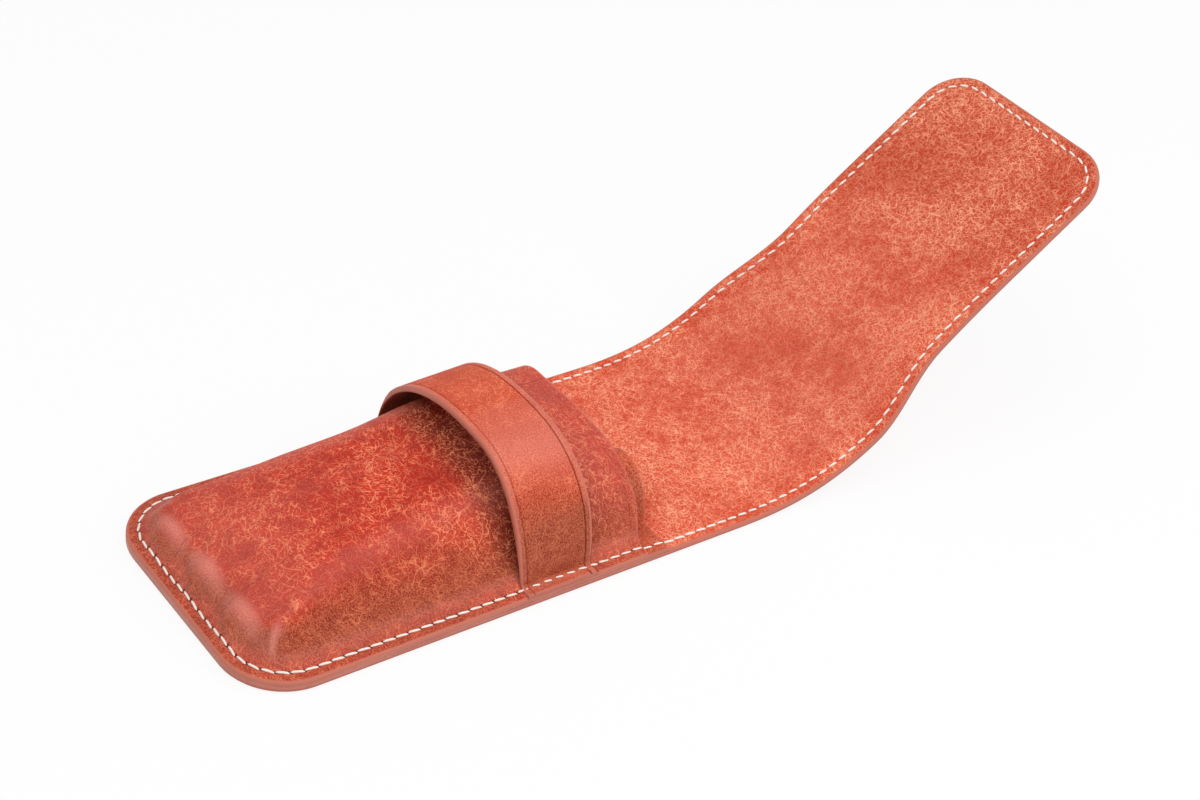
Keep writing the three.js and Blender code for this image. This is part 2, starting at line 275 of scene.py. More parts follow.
class Strip:
    """The long cut of leather that is the back and the flap, and the bend that it is set to."""

    STEP = 0.25 * MM

    def __init__(self, case):
        self.case = case
        self.half = case.width / 2
        self.body = case.body_length
        self.length = case.body_length + case.flap_length
        self.seam_inset = case.seam_inset
        self.bottom_radius = case.bottom_radius
        self.end_radius = case.end_radius
        self.bottom_bend = case.bottom_radius - case.seam_inset
        self.end_bend = case.end_radius - case.seam_inset
        self.bottom_straight = self.half - case.bottom_radius
        self.end_straight = case.tongue_width / 2 - case.end_radius
        self.side_start = self.bottom_straight + self.bottom_bend * math.pi / 2
        self.side_length = self.length - case.bottom_radius - case.end_radius
        self.seam_length = (self.side_start + self.side_length
                            + self.end_bend * math.pi / 2 + self.end_straight)
        self.holes = round(self.seam_length / case.stitch_pitch)
        self.pitch = self.seam_length / self.holes
        self.line = [(BOTTOM_END, 0.0)]
        for step in range(math.ceil(self.length / self.STEP)):
            turn = self.turn((step + 0.5) * self.STEP)
            x, z = self.line[-1]
            self.line.append((x + math.cos(turn) * self.STEP, z + math.sin(turn) * self.STEP))

    def turn(self, along):
        """Upward turn of the leather."""
        bent = along - self.body - self.case.bend_start
        lift = self.case.bend_angle * smooth(bent / self.case.bend_length)
        ease = smooth((bent - self.case.bend_length) / self.case.ease_length)
        return lift - self.case.ease_angle * ease

    def half_width(self, along):
        narrow = (along - self.body - self.case.shoulder_start) / self.case.shoulder_length
        return self.half + (self.case.tongue_width / 2 - self.half) * smooth(narrow)

    def point(self, along, across, height):
        """Place of a point of the bent leather, so far above its outer face."""
        index = min(int(along / self.STEP), len(self.line) - 2)
        share = along / self.STEP - index
        (x0, z0), (x1, z1) = self.line[index], self.line[index + 1]
        turn = self.turn(along)
        return Vector((x0 + (x1 - x0) * share - math.sin(turn) * height, across,
                       z0 + (z1 - z0) * share + math.cos(turn) * height))

    def ring(self, along, side, inset):
        """Flat place of a point of the square-cornered grid once the corners are rounded, with its way
        along the seam and its distance from the edge."""
        half = self.half_width(along)
        to_end = self.length - along
        if along < self.bottom_radius and inset < self.bottom_radius:
            near, inward, turn = round_corner(along, inset, self.bottom_radius)
            path = self.bottom_straight + self.bottom_bend * turn
            return near, side * (half - inward), path, min(along, inset)
        if to_end < self.end_radius and inset < self.end_radius:
            near, inward, turn = round_corner(to_end, inset, self.end_radius)
            path = self.seam_length - self.end_straight - self.end_bend * turn
            return self.length - near, side * (half - inward), path, min(to_end, inset)
        path = self.side_start + along - self.bottom_radius
        if along < inset:
            path = half - inset
        if to_end < inset:
            path = self.seam_length - half + inset
        return along, side * (half - inset), path, min(along, inset, to_end)

    def nearest_hole(self, along):
        """Way along to the hole that is nearest to a place on a long side."""
        path = self.side_start + along - self.bottom_radius
        return along + (round(path / self.pitch - 0.5) + 0.5) * self.pitch - path

    def square_seam(self, path):
        """Flat place on the seam as it was before the bottom corners were rounded."""
        turn = (path - self.bottom_straight) / self.bottom_bend
        if not 0 < turn < math.pi / 2:
            return self.seam(path)
        eighth = turn * 4 / math.pi
        first = self.seam_inset + max(eighth - 1, 0) * self.bottom_bend
        second = self.seam_inset + max(1 - eighth, 0) * self.bottom_bend
        return first, self.half - second

    def seam(self, path):
        """Flat place on the seam, so far from the middle of the bottom end."""
        if path < self.bottom_straight:
            return self.seam_inset, path
        if path < self.side_start:
            turn = (path - self.bottom_straight) / self.bottom_bend
            return (self.bottom_radius - self.bottom_bend * math.cos(turn),
                    self.bottom_straight + self.bottom_bend * math.sin(turn))
        along = self.bottom_radius + path - self.side_start
        if along < self.bottom_radius + self.side_length:
            return along, self.half_width(along) - self.seam_inset
        left = self.seam_length - path
        if left > self.end_straight:
            turn = (left - self.end_straight) / self.end_bend
            return (self.length - self.end_radius + self.end_bend * math.cos(turn),
                    self.end_straight + self.end_bend * math.sin(turn))
        return self.length - self.seam_inset, left


def evenly(first, last, steps):
    """Numbers from first to last in equal steps, both ends included."""
    return [first + (last - first) * step / steps for step in range(steps + 1)]


def girths(height, reach, steps):
    """Lengths over a curve of heights, from 0 to reach, at equal steps."""
    heights = [height(place) for place in evenly(0, reach, steps)]
    lengths = [0.0]
    for low, high in zip(heights, heights[1:]):
        lengths.append(lengths[-1] + math.hypot(reach / steps, high - low))
    return lengths


def read_girth(lengths, share):
    """Length over a curve at a share of its reach."""
    place = min(max(share, 0.0), 1.0) * (len(lengths) - 1)
    index = min(int(place), len(lengths) - 2)
    return lengths[index] + (lengths[index + 1] - lengths[index]) * (place - index)


def over_curve(lengths, y, half):
    """A place across, measured over a curve that is alike on both sides."""
    return math.copysign(read_girth(lengths, abs(y) / half), y)


def slope_of(height, place, step):
    """Slope of a curve of heights at a place."""
    return (height(place + step) - height(place - step)) / (2 * step)


def seam_groove(case, edge, depth):
    """How far the thread has drawn the leather in, at a distance from the edge."""
    return depth * bump(edge - case.seam_inset, GROOVE_WIDTH)


def underside(point, normal, thickness, base):
    """The lower face below a point, which stays on the layer that it is sewn to."""
    below = point - normal * thickness
    below.z = max(below.z, base)
    return below


def across_stations(rows, inner_steps):
    """Stations across a sheet: the side, a row in from that edge, and a share of the way on from there
    to the middle."""
    near = [(-1, row, 0.0) for row in rows]
    near += [(-1, rows[-1], step / inner_steps) for step in range(1, inner_steps)]
    far = [(1, row, share) for _, row, share in reversed(near)]
    return [*near, (1, rows[-1], 1.0), *far]


def inset_at(station, half):
    """Side of a station across, and its way in from that edge on a sheet that is so wide."""
    side, row, share = station
    return side, row + share * (half - row)


def make_sheet(name, along, across, place, finishes):
    """Adds a grid with a point for each pair of stations, thickens it, and carries each point to its
    place. The place function takes a station along, a station across and whether the point is on the
    upper face, and returns the point, its flat place, its place by the rim, and its tones."""
    bpy.ops.object.select_all(action="DESELECT")
    bpy.ops.mesh.primitive_grid_add(x_subdivisions=len(along) - 1, y_subdivisions=len(across) - 1,
                                    size=2, calc_uvs=True)
    piece = bpy.context.object
    piece.name = piece.data.name = name
    if len(piece.data.vertices) != len(along) * len(across):
        raise RuntimeError(f"{name}: the grid has not one point for each pair of stations")
    for finish in finishes:
        piece.data.materials.append(finish)
    thicken = piece.modifiers.new("Thickness", "SOLIDIFY")
    thicken.thickness = 1
    thicken.offset = 0
    thicken.material_offset = 1
    thicken.material_offset_rim = 2
    bpy.ops.object.modifier_apply(modifier=thicken.name)
    carry_points(piece.data, along, across, place)
    bpy.ops.object.shade_smooth_by_angle(angle=SHARP_EDGE)
    return piece


def carry_points(mesh, along, across, place):
    """Moves the points of a thickened grid to their places, and keeps its maps and tones."""
    flat, rim, tones = [], [], []
    for point in mesh.vertices:
        first = along[round((point.co.x + 1) / 2 * (len(along) - 1))]
        second = across[round((point.co.y + 1) / 2 * (len(across) - 1))]
        place_found, flat_found, rim_found, tone_found = place(first, second, point.co.z > 0)
        point.co = place_found
        flat.append(flat_found)
        rim.append(rim_found)
        tones.append(tone_found)
    corners = np.zeros(len(mesh.loops), np.int32)
    mesh.loops.foreach_get("vertex_index", corners)
    mesh.uv_layers[0].name = FLAT_MAP
    for layer, values in ((mesh.uv_layers[0], flat), (mesh.uv_layers.new(name=RIM_MAP), rim)):
        layer.uv.foreach_set("vector", np.array(values, np.float32)[corners].ravel())
    for name, values in zip(TONES, zip(*tones)):
        attribute = mesh.attributes.new(name, "FLOAT", "POINT")
        attribute.data.foreach_set("value", np.array(values, np.float32))
    mesh.update()


# Finishes

class Wire:
    """An output of a node, with the arithmetic that a finish is written in."""

    def __init__(self, tree, socket):
        self.tree = tree
        self.socket = socket

    def math(self, operation, *values):
        node = self.tree.nodes.new("ShaderNodeMath")
        node.operation = operation
        for socket, value in zip(node.inputs, values):
            join(self.tree, socket, value)
        return Wire(self.tree, node.outputs[0])

    def __add__(self, other):
        return self.math("ADD", self, other)

    __radd__ = __add__

    def __sub__(self, other):
        return self.math("SUBTRACT", self, other)

    def __rsub__(self, other):
        return self.math("SUBTRACT", other, self)

    def __mul__(self, other):
        return self.math("MULTIPLY", self, other)

    __rmul__ = __mul__

    def __truediv__(self, other):
        return self.math("DIVIDE", self, other)

    def __abs__(self):
        return self.math("ABSOLUTE", self)

    def most(self, other):
        return self.math("MAXIMUM", self, other)

    def root(self):
        return self.math("SQRT", self)

    def to_nearest(self):
        """Distance to the nearest whole number."""
        return abs(self - self.math("ROUND", self))


def join(tree, socket, value):
    """Links a wire to a socket, or sets the socket to a plain value."""
    if isinstance(value, Wire):
        tree.links.new(value.socket, socket)
    elif socket.type == "RGBA" and len(value) == 3:
        socket.default_value = (*value, 1)
    else:
        socket.default_value = value


class Nodes:
    """A node tree that is written as expressions on its nodes' outputs."""

    def __init__(self, tree):
        self.tree = tree

    def node(self, kind, settings, inputs, output=None):
        """Adds a node. Its settings come first, then the values or wires of its sockets, then the name
        of the output that is wanted, where it isn't the first."""
        node = self.tree.nodes.new(kind)
        for key, value in settings.items():
            setattr(node, key, value)
        for key, value in inputs.items():
            socket = next(s for s in node.inputs if key in (s.identifier, s.name) and s.enabled)
            join(self.tree, socket, value)
        wanted = next(s for s in node.outputs if output in (None, s.name) and s.enabled)
        return Wire(self.tree, wanted)

    def map(self, name):
        return self.node("ShaderNodeUVMap", {"uv_map": name}, {})

    def object_place(self):
        return self.node("ShaderNodeTexCoord", {}, {}, output="Object")

    def outputs(self, kind, inputs, names):
        """Adds a node and gives those of its outputs that are named."""
        node = self.node(kind, {}, inputs).socket.node
        return [Wire(self.tree, node.outputs[name]) for name in names]

    def split(self, vector):
        """The first two parts of a vector."""
        return self.outputs("ShaderNodeSeparateXYZ", {"Vector": vector}, ("X", "Y"))

    def tone(self, name):
        return self.node("ShaderNodeAttribute", {"attribute_name": name}, {}, output="Fac")

    def stretched(self, place, shift=(0, 0, 0), turn=0.0, scale=(1, 1, 1)):
        """A place from which a pattern is read, so that the pattern is moved, turned and stretched."""
        return self.node("ShaderNodeMapping", {"vector_type": "TEXTURE"},
                         {"Vector": place, "Location": shift, "Rotation": (0, 0, turn), "Scale": scale})

    def noise(self, place, size, detail=2.0, roughness=0.5, flat=True):
        """Cloudy noise whose patches are about as large as size."""
        settings = {"noise_dimensions": "2D" if flat else "3D"}
        return self.node("ShaderNodeTexNoise", settings,
                         {"Vector": place, "Scale": 1 / size, "Detail": detail, "Roughness": roughness})

    def step(self, value, low, high):
        """Eases from 0 at low to 1 at high."""
        return self.node("ShaderNodeMapRange", {"interpolation_type": "SMOOTHSTEP"},
                         {"Value": value, "From Min": low, "From Max": high})

    def mix(self, share, first, second):
        return self.node("ShaderNodeMix", {"data_type": "RGBA"},
                         {"Factor_Float": share, "A_Color": first, "B_Color": second})

    def raised(self, height, distance, strength):
        """A normal that follows a fine relief."""
        return self.node("ShaderNodeBump", {},
                         {"Height": height, "Distance": distance, "Strength": strength})


class Finish(Nodes):
    """The nodes of one material."""

    def __init__(self, name):
        self.material = bpy.data.materials.new(name)
        self.material.use_nodes = True
        super().__init__(self.material.node_tree)
        self.shader = self.tree.nodes["Principled BSDF"]

    def mix_shaders(self, share, first, second):
        """A shader at a share of the way between two."""
        mixed = self.node("ShaderNodeMixShader", {}, {"Fac": share})
        for socket, shader in zip(mixed.socket.node.inputs[1:], (first, second)):
            join(self.tree, socket, shader)
        return mixed

    def set(self, **values):
        for key, value in values.items():
            join(self.tree, self.shader.inputs[key.replace("_", " ")], value)
        return self.material


# Fibres: width of the field that their lines are drawn in, in millimetres, how much longer it is than
# wide, the thickness of a line as a share of the field's relief, and the way that they lie, in degrees
CURL_LAYERS = (
    (5.6, 2.2, 0.0085, 27), (4.6, 2.5, 0.0105, 118), (3.5, 2.7, 0.013, 12), (2.7, 2.2, 0.018, 74),
    (2.0, 2.6, 0.02, 131), (1.7, 1.9, 0.026, 48), (1.5, 2.4, 0.026, 163), (1.2, 1.8, 0.034, 97),
)
# Where the first field is read, and how much further on each next one is
CURL_START, CURL_STEP = (0.19, 0.83), (0.37, -0.29)
# Solid share of a line's thickness, and the gaps that break the lines: size, where they begin, softness
LINE_CORE = 0.4
GAP_SIZE, GAP_MOST, GAP_LESS, GAP_EDGE = 0.8, 0.6, 0.2, 0.06


def curls(nodes, place, cover, size):
    """Curly hair-like fibres: thin level lines of cloudy fields, broken into short lengths."""
    fibres = None
    for layer, (width, stretch, line, turn) in enumerate(CURL_LAYERS):
        shift = [start + step * layer for start, step in zip(CURL_START, CURL_STEP)]
        laid = nodes.stretched(place, (*shift, 0), math.radians(turn), (stretch, 1, 1))
        field = nodes.noise(laid, width * size * MM, detail=0.5)
        elsewhere = nodes.stretched(laid, (*reversed(shift), 0))
        gaps = nodes.noise(elsewhere, width * size * GAP_SIZE * MM, detail=1)
        thin = 1 - nodes.step(abs(field - 0.5), line * LINE_CORE, line)
        bare = GAP_MOST - GAP_LESS * cover
        broken = thin * nodes.step(gaps, bare, bare + GAP_EDGE)
        fibres = broken if fibres is None else fibres.most(broken)
    return fibres


class Hide(NamedTuple):
    """What sets one leather of the case apart from another."""

    deep: tuple
    middle: tuple
    fibre: tuple
    fibres: float = 1.0  # strength of the fibres
    cover: float = 0.6  # share of the surface that the fibres lie on
    size: float = 1.0  # size of their curls
    least: float = 0.25  # strength that is left where they are sparse
    clouds: float = 17 * MM  # size of the sparse and dense patches
    grainy: float = 0.45  # share of the fine grain in the mottling
    # The stitch holes are darkened with painted shade
    holes: float = 1.0  # darkness of the stitch holes
    # The long creases are painted as dark lines of shade
    wrinkles: tuple = ()  # places across, of faint long creases


# Marks of the leather: mottling and grain, burnish in from the edge, stitch holes darkened with painted
# shade, and fine relief
MOTTLE_SIZE, GRAIN_SIZE = 4.2 * MM, 0.42 * MM
BURNISH_CORE, BURNISH_EDGE, BURNISH_WANDER = 0.5 * MM, 0.9 * MM, 0.6 * MM
HOLE_CORE, HOLE_EDGE = 0.25 * MM, 0.65 * MM
RELIEF = 0.06 * MM
# Long creases, painted as dark lines of shade: how far they wander, how wide and how dark they are
WRINKLE_WANDER, WRINKLE_CORE, WRINKLE_EDGE, WRINKLE_DARK = 3.2 * MM, 0.08 * MM, 0.4 * MM, 0.34


def leather(name, hide, colours, case):
    """Waxed full-grain leather: mottled, with light curly fibres, brownish on moulded walls, burnished at
    the edge and pierced along the seam, with painted pale sheen on ridges and shoulders, painted shade in
    creases and stitch holes, and painted shade below the strap."""
    finish = Finish(name)
    flat = finish.map(FLAT_MAP)
    path, inset = finish.split(finish.map(RIM_MAP))
    wall, bloom, crease, rubbed = [finish.tone(tone) for tone in TONES]

    clouds = finish.stretched(flat, (0.31, 0.12, 0))
    patches = finish.noise(clouds, hide.clouds, detail=3, roughness=0.55)
    mottle = finish.noise(finish.stretched(flat, (0.77, 0.41, 0)), MOTTLE_SIZE, detail=3, roughness=0.6)
    grain = finish.noise(finish.stretched(flat, (0.13, 0.57, 0)), GRAIN_SIZE, detail=2, roughness=0.65)
    lines = curls(finish, flat, hide.cover, hide.size)

    thick = finish.step(between((patches, mottle), 0.35), 0.38, 0.6)
    cloudy = between((between((patches, mottle), 0.45), grain), hide.grainy)
    cloth = finish.mix(finish.step(cloudy, 0.38, 0.62), hide.deep, hide.middle)
    porous = finish.step(between((mottle, grain), 0.75), 0.38, 0.6)
    pores = finish.mix(porous, colours.wall_deep, colours.wall_mid)
    cloth = finish.mix(wall * 0.8, cloth, pores)
    # Painted shade below the strap in dark brown, which also darkens the flap's end and the strap's steep
    # sides
    cloth = finish.mix(rubbed * (0.55 + 0.9 * mottle), cloth, colours.rubbed)
    # Fibres show at full strength in dense patches, in the painted shade and partly on walls
    laid = lines * between((hide.least, 1), thick.most(rubbed).most(wall * 0.6))
    cloth = finish.mix(laid * (1 - 0.6 * wall) * (1 - 0.7 * bloom) * hide.fibres, cloth, hide.fibre)
    # Painted pale-pink sheen and highlights, with the pale cut edges and the flap's pale middle
    cloth = finish.mix(bloom * (0.2 + 0.6 * grain), cloth, colours.bloom)
    rough_inset = inset + (grain - 0.5) * BURNISH_WANDER
    burnish = 1 - finish.step(rough_inset, BURNISH_CORE, BURNISH_EDGE)
    cloth = finish.mix(burnish, cloth, colours.edge)
    dark = crease
    if hide.holes:
        pitch = Strip(case).pitch
        beside = (path / pitch - 0.5).to_nearest() * pitch
        off_seam = inset - case.seam_inset
        away = (beside * beside + off_seam * off_seam).root()
        dark = dark.most((1 - finish.step(away, HOLE_CORE, HOLE_EDGE)) * hide.holes)
    for across in hide.wrinkles:
        dark = dark.most(wrinkle(finish, flat, across))
    # Painted shade in creases, long creases and stitch holes
    cloth = finish.mix(dark * 0.85, cloth, colours.crease)

    relief = grain + 0.4 * lines + 0.4 * mottle - 1.5 * dark
    rough = 0.52 + 0.14 * grain - 0.1 * bloom - 0.14 * burnish
    return finish.set(Base_Color=cloth, Roughness=rough, Specular_IOR_Level=0.1,
                      Normal=finish.raised(relief, RELIEF, 0.5))


def wrinkle(finish, flat, across):
    """A faint crease along the case, painted as a dark line of shade, which wanders and comes and goes.
    """
    _, sideways = finish.split(flat)
    long = finish.stretched(flat, (across * 40, 0, 0), scale=(4, 1, 1))
    wander = (finish.noise(long, 9 * MM, detail=1) - 0.5) * WRINKLE_WANDER
    thin = 1 - finish.step(abs(sideways - across - wander), WRINKLE_CORE, WRINKLE_EDGE)
    return thin * finish.step(finish.noise(long, 4 * MM, detail=1), 0.44, 0.6) * WRINKLE_DARK


def burnished_edge(name, plain, streaked):
    """Cut edges, waxed and burnished smooth, with faint streaks along the layers."""
    finish = Finish(name)
    place = finish.object_place()
    along = finish.stretched(place, scale=(3, 3, 0.25))
    streaks = finish.noise(along, 4 * MM, detail=3, flat=False)
    spots = finish.noise(place, 0.9 * MM, detail=2, flat=False)
    share = finish.step(between((streaks, spots), 0.35), 0.62, 0.38)
    cloth = finish.mix(share * 0.45, plain, streaked)
    return finish.set(Base_Color=cloth, Roughness=0.36 + 0.15 * spots,
                      Normal=finish.raised(streaks, RELIEF, 0.3))


def flesh_side(colours):
    """Raw inner side of the leather, with a short nap."""
    finish = Finish("flesh_side")
    place = finish.object_place()
    nap = finish.noise(place, 0.7 * MM, detail=3, roughness=0.65, flat=False)
    clouds = finish.noise(place, 9 * MM, detail=2, flat=False)
    share = finish.step(between((nap, clouds), 0.4), 0.35, 0.65)
    cloth = finish.mix(share, colours.flesh_deep, colours.flesh)
    return finish.set(Base_Color=cloth, Roughness=0.75 + 0.15 * nap,
                      Normal=finish.raised(nap, 0.1 * MM, 0.6))


def sewing_thread(colours):
    """Waxed linen thread with faint plies."""
    finish = Finish("sewing_thread")
    place = finish.object_place()
    plies = finish.noise(place, 0.5 * MM, detail=2, flat=False)
    cloth = finish.mix(finish.step(plies, 0.6, 0.35) * 0.6, colours.thread, colours.thread_shade)
    return finish.set(Base_Color=cloth, Roughness=0.55 + 0.2 * plies,
                      Normal=finish.raised(plies, 0.05 * MM, 0.5))


def finish_set(name, hide, scene):
    """Grain face, flesh side and cut edge of one leather."""
    colours, case = scene.pen_case_colours, scene.pen_case_sizes
    face = leather(name, hide, colours, case)
    edges = [colours.edge, colours.edge_dark]
    # The outer strip's cut edge, the lower part of the rim, takes the darker colour as its base: painted
    # shade
    if name == "outer_leather":
        return [face, flesh_side(colours), burnished_edge("outer_edge", *reversed(edges))]
    edge = bpy.data.materials.get("burnished_edge") or burnished_edge("burnished_edge", *edges)
    return [face, bpy.data.materials["flesh_side"], edge]


# Pieces

def levels(case):
    """Heights of the layers' upper faces, from the face that the case lies on."""
    outer = case.outer_thickness
    lining = outer + case.lining_thickness
    divider = lining + case.divider_thickness
    return outer, lining, divider, divider + case.front_thickness


def fold_points(strip, fold):
    """Where the leather starts and ends to turn round a fold, on its outer face."""
    pivot = Vector(next(joint["pos_m"] for joint in frame["joints"] if joint["name"] == fold))
    along = min(evenly(strip.body, strip.length, FOLD_STEPS),
                key=lambda a: (strip.point(a, 0, 0) - pivot).length)
    reach = strip.case.fold_reach
    return strip.point(along - reach, 0, 0), strip.point(along + reach, 0, 0)


def follow_fold(piece, strip, upper):
    """Finds where the leather turns round the fold that a piece of the strip crosses, and bakes the
    piece's place into its points. It does not bend the piece.
    """
    start, end = fold_points(strip, "upper_fold" if upper else "lower_fold")
    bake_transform(piece)


class Hump:
    """The moulded hump of the front panel."""

    # Lumps over the channels' ends: how far in from the end and out to the sides they reach
    LUMP_MIDDLE, LUMP_REACH = 3 * MM, 5 * MM
    LOBES_HALF, LOBES_FADE = 30 * MM, 6 * MM
    # Where the hump begins to lean and its far side to fill out, from the bottom end, and for how long
    LEAN_START, LEAN_LENGTH = 48 * MM, 66 * MM
    FILL_START, FILL_LENGTH = 16 * MM, 42 * MM
    # The slope up from the end is longer on the far side, and the roof drops from its crest on
    FAR_SLACK, FAR_WIDTH = 0.4, 22 * MM
    CREST, END_DROP = 80 * MM, 0.6
    # Rounding of the end wall's top, and of the line where the end meets the sides
    WALL_BLEND = 2 * MM
    SIDE_BLEND, SIDE_BLEND_MORE, BLEND_LENGTH = 1.4 * MM, 4 * MM, 24 * MM
    # Ribs over the channels, and ridges at the end wall's corners
    RIB, RIB_START, RIB_END, RIB_FADE = 0.22 * MM, 20 * MM, 0.75, 0.2
    CORNER_RIDGE, CORNER_SHARE, CORNER_WIDTH = 0.5 * MM, 1.3, 2.2 * MM
    CORNER_MIDDLE, CORNER_REACH, CORNER_FOOT = 4 * MM, 4.5 * MM, 3 * MM
    # Fade to the flat edges, and the leather's own waves
    EDGE_FADE = 2.4 * MM
    WAVE, WAVE_SIZE, WAVE_SLICE, WAVE_RISE = 0.3 * MM, 19 * MM, 0.4, 8 * MM

    def __init__(self, case):
        self.case = case
        self.half = case.width / 2
        self.top = levels(case)[3]

    def grown(self, x):
        """0 towards the bottom end and 1 at the mouth, where the hump sits further to the far side."""
        return smooth((x - self.LEAN_START) / self.LEAN_LENGTH)

    def lobes(self, y):
        """1 over the middle of each pen channel, 0 between and outside them."""
        inside = smooth((self.LOBES_HALF - abs(y)) / self.LOBES_FADE)
        return math.cos(math.pi * y / self.case.channel_pitch) ** 2 * inside

    def forms(self, x, y):
        """Heights of the end, with its wall and long slope, and of the sides, and the way in from
        the end."""
        case = self.case
        inside = x - case.hump_end
        press = case.end_lump * (self.lobes(y) - 0.5)
        pressed = inside + press * bump(inside - self.LUMP_MIDDLE, self.LUMP_REACH)
        slope = case.hump_height - case.end_wall
        rise_length = case.end_rise * (1 + self.FAR_SLACK * smooth(y / self.FAR_WIDTH))
        top = case.end_wall + slope * (1 - math.exp(-max(pressed, 0.0) / rise_length))
        end = blend_low(pressed * case.end_slope, top, self.WALL_BLEND)
        drop = case.mouth_drop * smooth((x - self.CREST) / (case.body_length - self.CREST))
        share = abs(y) / (self.half - case.hump_foot)
        filled = smooth((x - self.FILL_START) / self.FILL_LENGTH)
        far = between((case.bottom_fullness, case.hump_fullness), filled)
        far = between((far, case.mouth_fullness), self.grown(x))
        side = (case.hump_height - drop) * (1 - share ** (case.hump_fullness if y < 0 else far))
        return end - drop * self.END_DROP, side, inside

    def corner(self, x, y):
        """How strongly the ridges show where the end wall meets the sides."""
        end, side, inside = self.forms(x, y)
        met = self.CORNER_SHARE * bump(end - side, self.CORNER_WIDTH)
        return met * bump(inside - self.CORNER_MIDDLE, self.CORNER_REACH) * smooth(end / self.CORNER_FOOT)

    def rise(self, x, y):
        """Height above the flange, before the hump leans."""
        end, side, inside = self.forms(x, y)
        share = abs(y) / (self.half - self.case.hump_foot)
        ribs = self.RIB * math.cos(2 * math.pi * y / self.case.channel_pitch)
        ribs *= smooth(inside / self.RIB_START) * smooth((self.RIB_END - share) / self.RIB_FADE)
        reach = self.SIDE_BLEND + self.SIDE_BLEND_MORE * smooth(inside / self.BLEND_LENGTH)
        height = blend_low(end, side, reach) + ribs + self.CORNER_RIDGE * self.corner(x, y)
        return soft_floor(height, self.case.hump_fillet)

    def height(self, x, y):
        """Upper face of the front panel."""
        edge_fade = smooth((self.half - abs(y)) / self.EDGE_FADE) * smooth(x / self.EDGE_FADE)
        wave = self.WAVE * noise.noise(Vector((x, y, self.WAVE_SLICE)) / self.WAVE_SIZE)
        hump = self.rise(x, y)
        return self.top + hump * edge_fade + wave * smooth(hump / self.WAVE_RISE)

    def lean(self, x, rise):
        """How far a point so high above the flange leans to the far side, more towards the mouth."""
        return self.case.hump_lean * self.grown(x) * (rise / self.case.hump_height) ** 2


class StrapArch:
    """The strap's upper face across the case."""

    # Powers of the arch's section, across and up, at its lower and its upper edge
    NEAR_ACROSS, NEAR_UP = (3.2, 2.6), (0.85, 0.48)
    FAR_ACROSS, FAR_UP = (2.0, 2.3), (0.4, 0.4)
    FILLET = 1.2 * MM
    PARED = 5.5 * MM

    def __init__(self, case):
        self.case = case
        self.half = case.width / 2
        self.foot = self.half - case.strap_foot
        self.base = levels(case)[3]
        self.width = STRAP_HIGH.x - STRAP_LOW.x

    def peak(self, share):
        """Rise of the arch at a share of the strap's width from its lower edge."""
        return between((self.case.strap_low_rise, self.case.strap_high_rise), share)

    def rise(self, share, y):
        """Height over the strap's feet."""
        across = between(self.NEAR_ACROSS if y < 0 else self.FAR_ACROSS, share)
        up = between(self.NEAR_UP if y < 0 else self.FAR_UP, share)
        inside = 1 - (abs(y) / self.foot) ** across
        return soft_floor(self.peak(share) * math.copysign(abs(inside) ** up, inside), self.FILLET)

    def thickness(self, y):
        """Thickness of the strap, which is pared thin at its sewn ends."""
        past_seam = self.half - self.case.seam_inset - abs(y)
        return between((self.case.strap_end, self.case.strap_thickness), smooth(past_seam / self.PARED))

    def height(self, share, y):
        return self.base + self.thickness(y) + self.rise(share, y)


